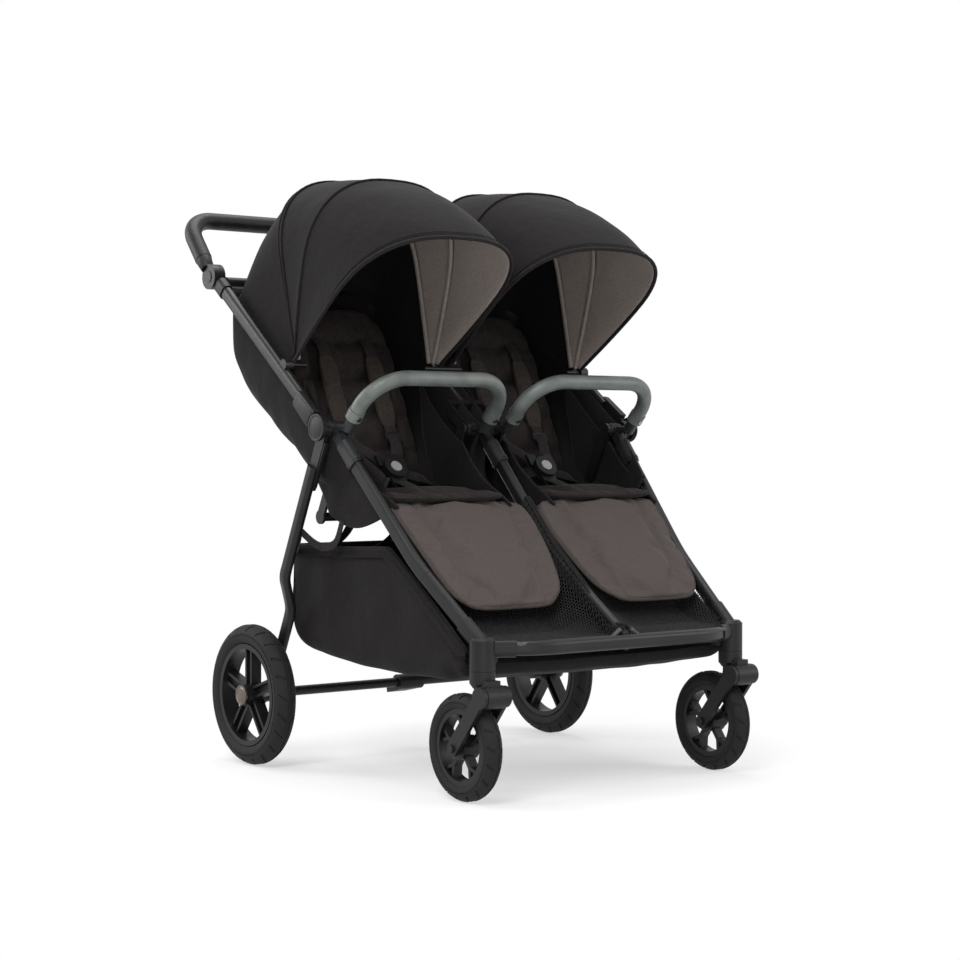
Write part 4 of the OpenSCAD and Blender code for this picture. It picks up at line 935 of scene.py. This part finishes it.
for side, s in SIDES.items():
    for tag, x in (("inner", s * 0.120), ("outer", s * 0.232)):
        web = basket_web(f"basket_strap_{tag}_{side}",
                         ((x, 0.050, 0.4535), (x, 0.075, 0.428), (x, 0.115, 0.406), (x, 0.1475, 0.398)),
                         0.02, (0, 0.5, 0.86))
        if side == "left" and tag == "inner":
            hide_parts("basket_straps")
    basket_web(f"basket_corner_strap_{side}",
               ((s * 0.331, 0.070, 0.436), (s * 0.325, 0.084, 0.418), (s * 0.312, 0.110, 0.402),
                (s * 0.299, 0.140, 0.397)), 0.014, (s, 0, 0.3))
    basket_web(f"basket_loop_{side}",
               ((s * 0.331, 0.072, 0.437), (s * 0.327, 0.030, 0.415), (s * 0.322, 0.002, 0.410),
                (s * 0.318, -0.025, 0.420), (s * 0.314, -0.040, 0.458)), 0.015, (s, 0, 0))
print("Basket straps: 8")

# %% [markdown]
# ## Footwell nets
# The foot space is closed by a knitted net with hexagon cells of about 5 mm. It runs from the front bar
# back under the calf pad and is drawn up to the tubes at both sides. A honeycomb of faces is laid over
# that hammock, each face is inset, and its middle is deleted, which leaves the yarn.

# %% Hammock shape
NET_FLOOR = [(-0.4414, 0.264), (-0.360, 0.272), (-0.3034, 0.294), (-0.235, 0.368), (-0.1654, 0.4455)]
TUBE_LINE = [(-0.4414, 0.262), (-0.405, 0.272), (-0.2484, 0.400), (-0.1654, 0.487)]
NET_FRONT, NET_REAR = -0.4395, -0.17
NET_CELL = 0.0030
NET_FIRST_ROW, NET_DEPTH = -0.4385, 0.272


def net_edge_x(y):
    """The outer edge follows the leg, and rounds the corner of the front bar."""
    corner = 0.03 * max(0.0, (-0.41 - y) / 0.0285) ** 2
    return leg_x(y) - 0.0125 - corner


def net_height(x, y):
    """Low in the middle, drawn up to both tubes, and laid over the centre tube."""
    floor_z, tube_z = read_table(y, NET_FLOOR), read_table(y, TUBE_LINE) - 0.004
    draw = min(1.0, max(0.0, 1 - (x - 0.013) / 0.085, 1 - (net_edge_x(y) - x) / 0.04))
    over = 0.0195 * sqrt(max(0.0, 1 - (x / 0.016) ** 2))
    return between(floor_z, max(tube_z, floor_z), draw ** 1.6) + over


def net_cells(s):
    """Honeycomb over the hammock: corners shared between neighbours, one face a cell."""
    points, corner, faces = [], {}, []
    pitch, step = 1.5 * NET_CELL, sqrt(3) * NET_CELL
    for j in range(int(NET_DEPTH / pitch)):
        y = NET_FIRST_ROW + pitch * j
        for i in range(int((net_edge_x(y) - 0.005) / step)):
            x = 0.004 + step * (i + (j % 2) / 2)
            face = []
            for k in range(6):
                a = pi / 6 + pi / 3 * k
                px, py = x + NET_CELL * cos(a), y + NET_CELL * sin(a)
                key = (round(px / NET_CELL * 4), round(py / NET_CELL * 4))
                if key not in corner:
                    corner[key] = len(points)
                    points.append(Vector((s * px, py, net_height(px, py))))
                face.append(corner[key])
            faces.append(face if s > 0 else face[::-1])
    return points, faces


# %% Nets and their bindings
RIDGE_X = 0.0030


def net_tape(stem, side, path, r, finish):
    path = [Vector((SIDES[side] * x, y, net_height(x, y) + 0.001)) for x, y in path]
    run_along(f"{stem}_{side}", path, round_outline(r, 0.7), Vector((0, 0, 1)), finish, "chassis")


for side, s in SIDES.items():
    open_edit(add_mesh(f"footwell_net_{side}", *net_cells(s)))
    bpy.ops.mesh.inset(thickness=0.0008, use_individual=True)
    bpy.ops.mesh.delete(type="FACE")
    net = close_edit()
    apply_modifier(net, "SOLIDIFY", thickness=0.0011, offset=0.0)
    dress(net, NET_YARN, "chassis")
    if side == "left":
        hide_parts("footrests")
    end = net_edge_x(NET_FIRST_ROW)
    net_tape("footwell_front_tape", side, [(between(0.012, end, k / 12), NET_FRONT) for k in range(13)],
             0.0045, GREY_BINDING)
    net_tape("footwell_ridge_tape", side, [(RIDGE_X, between(NET_FRONT, NET_REAR, k / 24)) for k in range(25)],
             0.0028, BINDING)
print("Net cells:", len(net_cells(1)[1]))

# %% [markdown]
# ## Harness
# Each child has a five-point harness: two shoulder straps with soft pads, two waist straps and one crotch
# strap, all meeting at the round buckle. Straps are flat webbing swept along a curve that hangs
# between its two ends. The top of each shoulder strap rides on the backrest, and its lower part, from the
# backrest down to the buckle, is baked in place on no body.

# %% Shoulder pads
SHOULDER_SHIFT = 0.052
SHOULDER_HALF, SHOULDER_LENGTH = 0.021, 0.15


def on_back(run, lift, x):
    return on_slope(SEAT_REAR, BACK_SLOPE, run, lift, x)


def shoulder_outline(u, v):
    return soft_rectangle(u, v, lambda t: -SHOULDER_HALF, lambda t: SHOULDER_HALF, SHOULDER_LENGTH, 0.010)


for tag, shift in (("inner", -SHOULDER_SHIFT), ("outer", SHOULDER_SHIFT)):
    pad, held = sewn_pad(f"shoulder_pad_{tag}_left", shoulder_outline, 0.007, 0.004, 12, 30, (),
                         lambda x, y, h: on_back(0.165 + y, 0.027 + h, SEAT_MID + shift + x), (0.5,))
    blow_up(pad, held, 2.0, 0.003)
    finish_pads(f"shoulder_pad_{tag}", pad, HARNESS_PAD, "backrest_{}", {})
print("Shoulder pads:", SHOULDER_LENGTH)


# %% Harness straps
def strap(name, path, up, width, body):
    return run_along(name, curve_through(path, 8), band_outline(width, 0.0018), Vector(up), WEBBING,
                     body)


def beside(s, shift, y, z):
    return Vector((s * (SEAT_MID + shift), y, z))


for side, s in SIDES.items():
    for tag, way in (("inner", -1), ("outer", 1)):
        x = s * (SEAT_MID + way * SHOULDER_SHIFT)
        high = [on_back(run, lift, x) for run, lift in ((0.352, 0.016), (0.333, 0.026), (0.310, 0.029))]
        strap(f"shoulder_strap_top_{tag}_{side}", high, (0, -0.91, 0.41), 0.025, f"backrest_{side}")
        low = [on_back(0.185, 0.0265, x), on_back(0.150, 0.031, x), beside(s, way * 0.041, 0.050, 0.588),
               beside(s, way * 0.014, 0.0105, 0.559)]
        web = strap(f"shoulder_strap_low_{tag}_{side}", low, (0, -0.80, 0.60), 0.025, None)
        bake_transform(web)
        waist = [beside(s, way * 0.113, 0.046, 0.520), beside(s, way * 0.085, 0.020, 0.528),
                 beside(s, way * 0.020, 0.0055, 0.541)]
        strap(f"waist_strap_{tag}_{side}", waist, (0, -0.70, 0.71), 0.025, "chassis")
    middle = s * SEAT_MID
    crotch = [seat_place(middle, 0.115, 0.008), seat_place(middle, 0.128, 0.022), Vector((middle, 0.0075, 0.5315))]
    strap(f"crotch_strap_{side}", crotch, (0, -0.80, 0.60), 0.03, "chassis")
print("Harness straps: 14")

# %% [markdown]
# ## Webbing slides
# A slide is a small moulded frame that the webbing loops through to set its length. It starts as a
# cube. Its two broad faces are inset, and bridging the two inset faces cuts the window through it.

# %% Points and faces chosen by place
def choose(obj, test, mode="FACE"):
    """Opens edit mode with the faces, or points, selected that pass a test of their place and normal."""
    open_edit(obj, "DESELECT")
    bpy.ops.mesh.select_mode(type=mode)
    bpy.ops.mesh.select_all(action="DESELECT")
    close_edit()
    for item in obj.data.polygons if mode == "FACE" else obj.data.vertices:
        item.select = test(item.center if mode == "FACE" else item.co, item.normal)
    bpy.ops.object.mode_set(mode="EDIT")


def name_new(name):
    """Names the primitive that was just added and applies its turn and scale."""
    obj = bpy.context.object
    obj.name = obj.data.name = name
    bpy.ops.object.transform_apply(location=True, rotation=True, scale=True)
    return obj


def add_box(name, size):
    bpy.ops.mesh.primitive_cube_add(size=1, location=(0, 0, 0))
    bpy.context.object.scale = size
    return name_new(name)


def settle(obj, place, turn=(0, 0, 0)):
    """Turns a finished piece, moves it into place and applies both."""
    obj.rotation_euler, obj.location = turn, place
    pick(obj)
    bpy.ops.object.transform_apply(location=True, rotation=True, scale=True)
    return obj


def smooth_edges(obj, angle):
    pick(obj)
    bpy.ops.object.shade_smooth_by_angle(angle=radians(angle))


# %% Slides on the harness
slide = add_box("webbing_slide", (0.034, 0.018, 0.0036))
choose(slide, lambda c, n: abs(n.z) > 0.9)
bpy.ops.mesh.inset(thickness=0.004, use_individual=True)
bpy.ops.mesh.bridge_edge_loops()
close_edit()
bevel(slide, 0.0008, 2, 30)
print("Slide faces:", len(slide.data.polygons))
for side, s in SIDES.items():
    for tag, way in (("inner", -1), ("outer", 1)):
        piece = copy_of(slide, f"webbing_slide_{tag}_{side}")
        settle(piece, on_back(0.145, 0.0315, s * (SEAT_MID + way * 0.0515)), (BACK_SLOPE, 0, 0))
        dress(piece, BLACK_NYLON, f"backrest_{side}")
        smooth_edges(piece, 35)
bpy.data.objects.remove(slide)

# %% [markdown]
# ## Foam tyres
# The tyres are moulded of closed-cell foam with a V tread and a fine knurl on the shoulders. Each one is
# a torus, flattened where it sits on the rim. The tread is a choice of faces by their place, sunk with
# an inset that has a depth.

# %% Foam tyres
MARK_STEPS = 12


def tyre(name, radius, width, depth, marks):
    half, around = width / 2, MARK_STEPS * marks
    bpy.ops.mesh.primitive_torus_add(major_segments=around, minor_segments=28, major_radius=radius - half,
                                     minor_radius=half, rotation=(0, pi / 2, 0))
    obj = name_new(name)
    bed = radius - depth
    rings = sorted({round(hypot(v.co.y, v.co.z), 4) for v in obj.data.vertices})
    for ring in [r for r in rings if r < bed]:
        choose(obj, lambda c, n: abs(hypot(c.y, c.z) - ring) < 6e-5, "VERT")
        grow = bed / ring
        bpy.ops.transform.resize(value=(1, grow, grow), center_override=(0, 0, 0))
        close_edit()

    def round_section(c):
        """Angle from the crown of the tyre to a face."""
        return abs(atan2(c.x, hypot(c.y, c.z) - (radius - half)))

    def tread(c, n):
        a = round_section(c)
        step = (atan2(c.z, c.y) / tau * around + 4.5 * a) % MARK_STEPS
        return (0.30 < a < 1.2 and step < 1.6) or 0.10 < a < 0.28

    def knurl(c, n):
        return 1.32 < round_section(c) < 1.62 and int(atan2(c.z, c.y) / tau * around + 600) % 2

    for test, thickness, sink in ((tread, 0.0003, -0.0016), (knurl, 0.0002, -0.0008)):
        choose(obj, test)
        bpy.ops.mesh.inset(thickness=thickness, depth=sink)
        close_edit()
    smooth_edges(obj, 32)
    return obj


for kind, radius, width, depth, marks, x, axle in (("rear", 0.130, 0.042, 0.036, 22, 0.352, REAR_AXLE),
                                                   ("front", 0.0905, 0.034, 0.026, 18, 0.281, FRONT_AXLE)):
    right = tyre(f"{kind}_tread_right", radius, width, depth, marks)
    left = copy_of(right, f"{kind}_tread_left")
    for side, obj in (("left", left), ("right", right)):
        settle(obj, Vector((SIDES[side] * x, axle.y, axle.z)))
        obj.data.materials.append(TYRE_FOAM)
        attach(obj, f"{kind}_wheel_{side}")
        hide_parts(f"{kind}_tyre_{side}")
    print(kind, "tyre faces:", len(left.data.polygons))

# %% [markdown]
# ## Moulded hinge covers
# Plastic mouldings hide the steel lugs of the main hinge. One arm runs on to the upper tube and one on to
# the rear leg, and a round cover closes the pin. An arm starts as a cube. Its far end is drawn in,
# its outer face is inset and raised, and a bevel rounds it like a moulding.

# %% Moulded hinge covers
def cover_arm(name, length, height, depth, draw):
    obj = add_box(name, (depth, length, height))
    choose(obj, lambda c, n: n.y > 0.9)
    bpy.ops.transform.resize(value=(0.9, 1, draw), center_override=(-depth / 2, length / 2, 0))
    bpy.ops.mesh.extrude_region_move(TRANSFORM_OT_translate={"value": (0, length * 0.12, 0)})
    bpy.ops.transform.resize(value=(0.85, 1, 0.8), center_override=(-depth / 2, length * 0.62, 0))
    choose(close_edit(), lambda c, n: n.x > 0.9 and abs(c.y) < length * 0.45)
    bpy.ops.mesh.inset(thickness=0.004)
    bpy.ops.mesh.extrude_region_move(TRANSFORM_OT_translate={"value": (0.0011, 0, 0)})
    close_edit()
    return bevel(obj, 0.0028, 3, 25)


def both_sides(left, stem, finish, body):
    for side, obj in (("left", left), ("right", mirror_copy(left, f"{stem}_right"))):
        dress(obj, finish, body.format(side))
        smooth_edges(obj, 35)


for end, length, height, depth, draw, slope, run, x, body in (
    ("upper", 0.062, 0.036, 0.0140, 0.86, UPPER_SLOPE, 0.055, 0.3578, "upper_frame"),
    ("lower", 0.086, 0.031, 0.0088, 0.88, REAR_LEG_SLOPE, 0.066, 0.3440, "rear_legs"),
):
    arm = cover_arm(f"hinge_cover_{end}_left", length, height, depth, draw)
    settle(arm, on_slope(HINGE, slope, run, 0, x), (slope, 0, 0))
    both_sides(arm, f"hinge_cover_{end}", BLACK_NYLON, body)
    print("Hinge cover", end, "faces:", len(arm.data.polygons))

# %% Round covers
def round_cover(name, radius, thick):
    bpy.ops.mesh.primitive_cylinder_add(vertices=64, radius=radius, depth=thick, rotation=(0, pi / 2, 0))
    obj = name_new(name)
    choose(obj, lambda c, n: n.x > 0.9)
    bpy.ops.mesh.inset(thickness=radius * 0.16)
    bpy.ops.mesh.inset(thickness=radius * 0.03, depth=-thick * 0.25)
    bpy.ops.mesh.inset(thickness=radius * 0.10, depth=thick * 0.3)
    close_edit()
    return bevel(obj, 0.0006, 2, 30)


disc = settle(round_cover("hinge_disc_left", 0.0245, 0.0035), Vector((0.3643, HINGE.y, HINGE.z)))
both_sides(disc, "hinge_disc", BLACK_NYLON, "chassis")
low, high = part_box("rear_rim_left")
hub_face = max(low[0], high[0])
cap = settle(round_cover("rear_hub_cap_left", 0.0185, 0.005), Vector((hub_face + 0.0005, REAR_AXLE.y, REAR_AXLE.z)))
both_sides(cap, "rear_hub_cap", CAP_STEEL, "rear_wheel_{}")
print("Hub cap at x:", round(hub_face, 4))

# %% [markdown]
# ## Push bar sleeves
# Between the hub and the padded grip the tube wears a tapered plastic sleeve. It starts as a cone. Both
# ends are inset, and bridging the two inset faces makes it hollow for the tube.

# %% Push bar sleeves
HANDLE_PIVOT = Vector((0, 0.343453, 0.911162))
HANDLE_SLOPE = radians(50)
bpy.ops.mesh.primitive_cone_add(vertices=48, radius1=0.0125, radius2=0.0160, depth=0.026)
sleeve = name_new("push_bar_sleeve_left")
choose(sleeve, lambda c, n: abs(n.z) > 0.9)
bpy.ops.mesh.inset(thickness=0.002, use_individual=True)
bpy.ops.mesh.bridge_edge_loops()
close_edit()
bevel(sleeve, 0.001, 2, 40)
settle(sleeve, on_slope(HANDLE_PIVOT, HANDLE_SLOPE, 0.034, 0, 0.358), (HANDLE_SLOPE - pi / 2, 0, 0))
both_sides(sleeve, "push_bar_sleeve", BLACK_NYLON, "handlebar")
print("Sleeve faces:", len(sleeve.data.polygons))
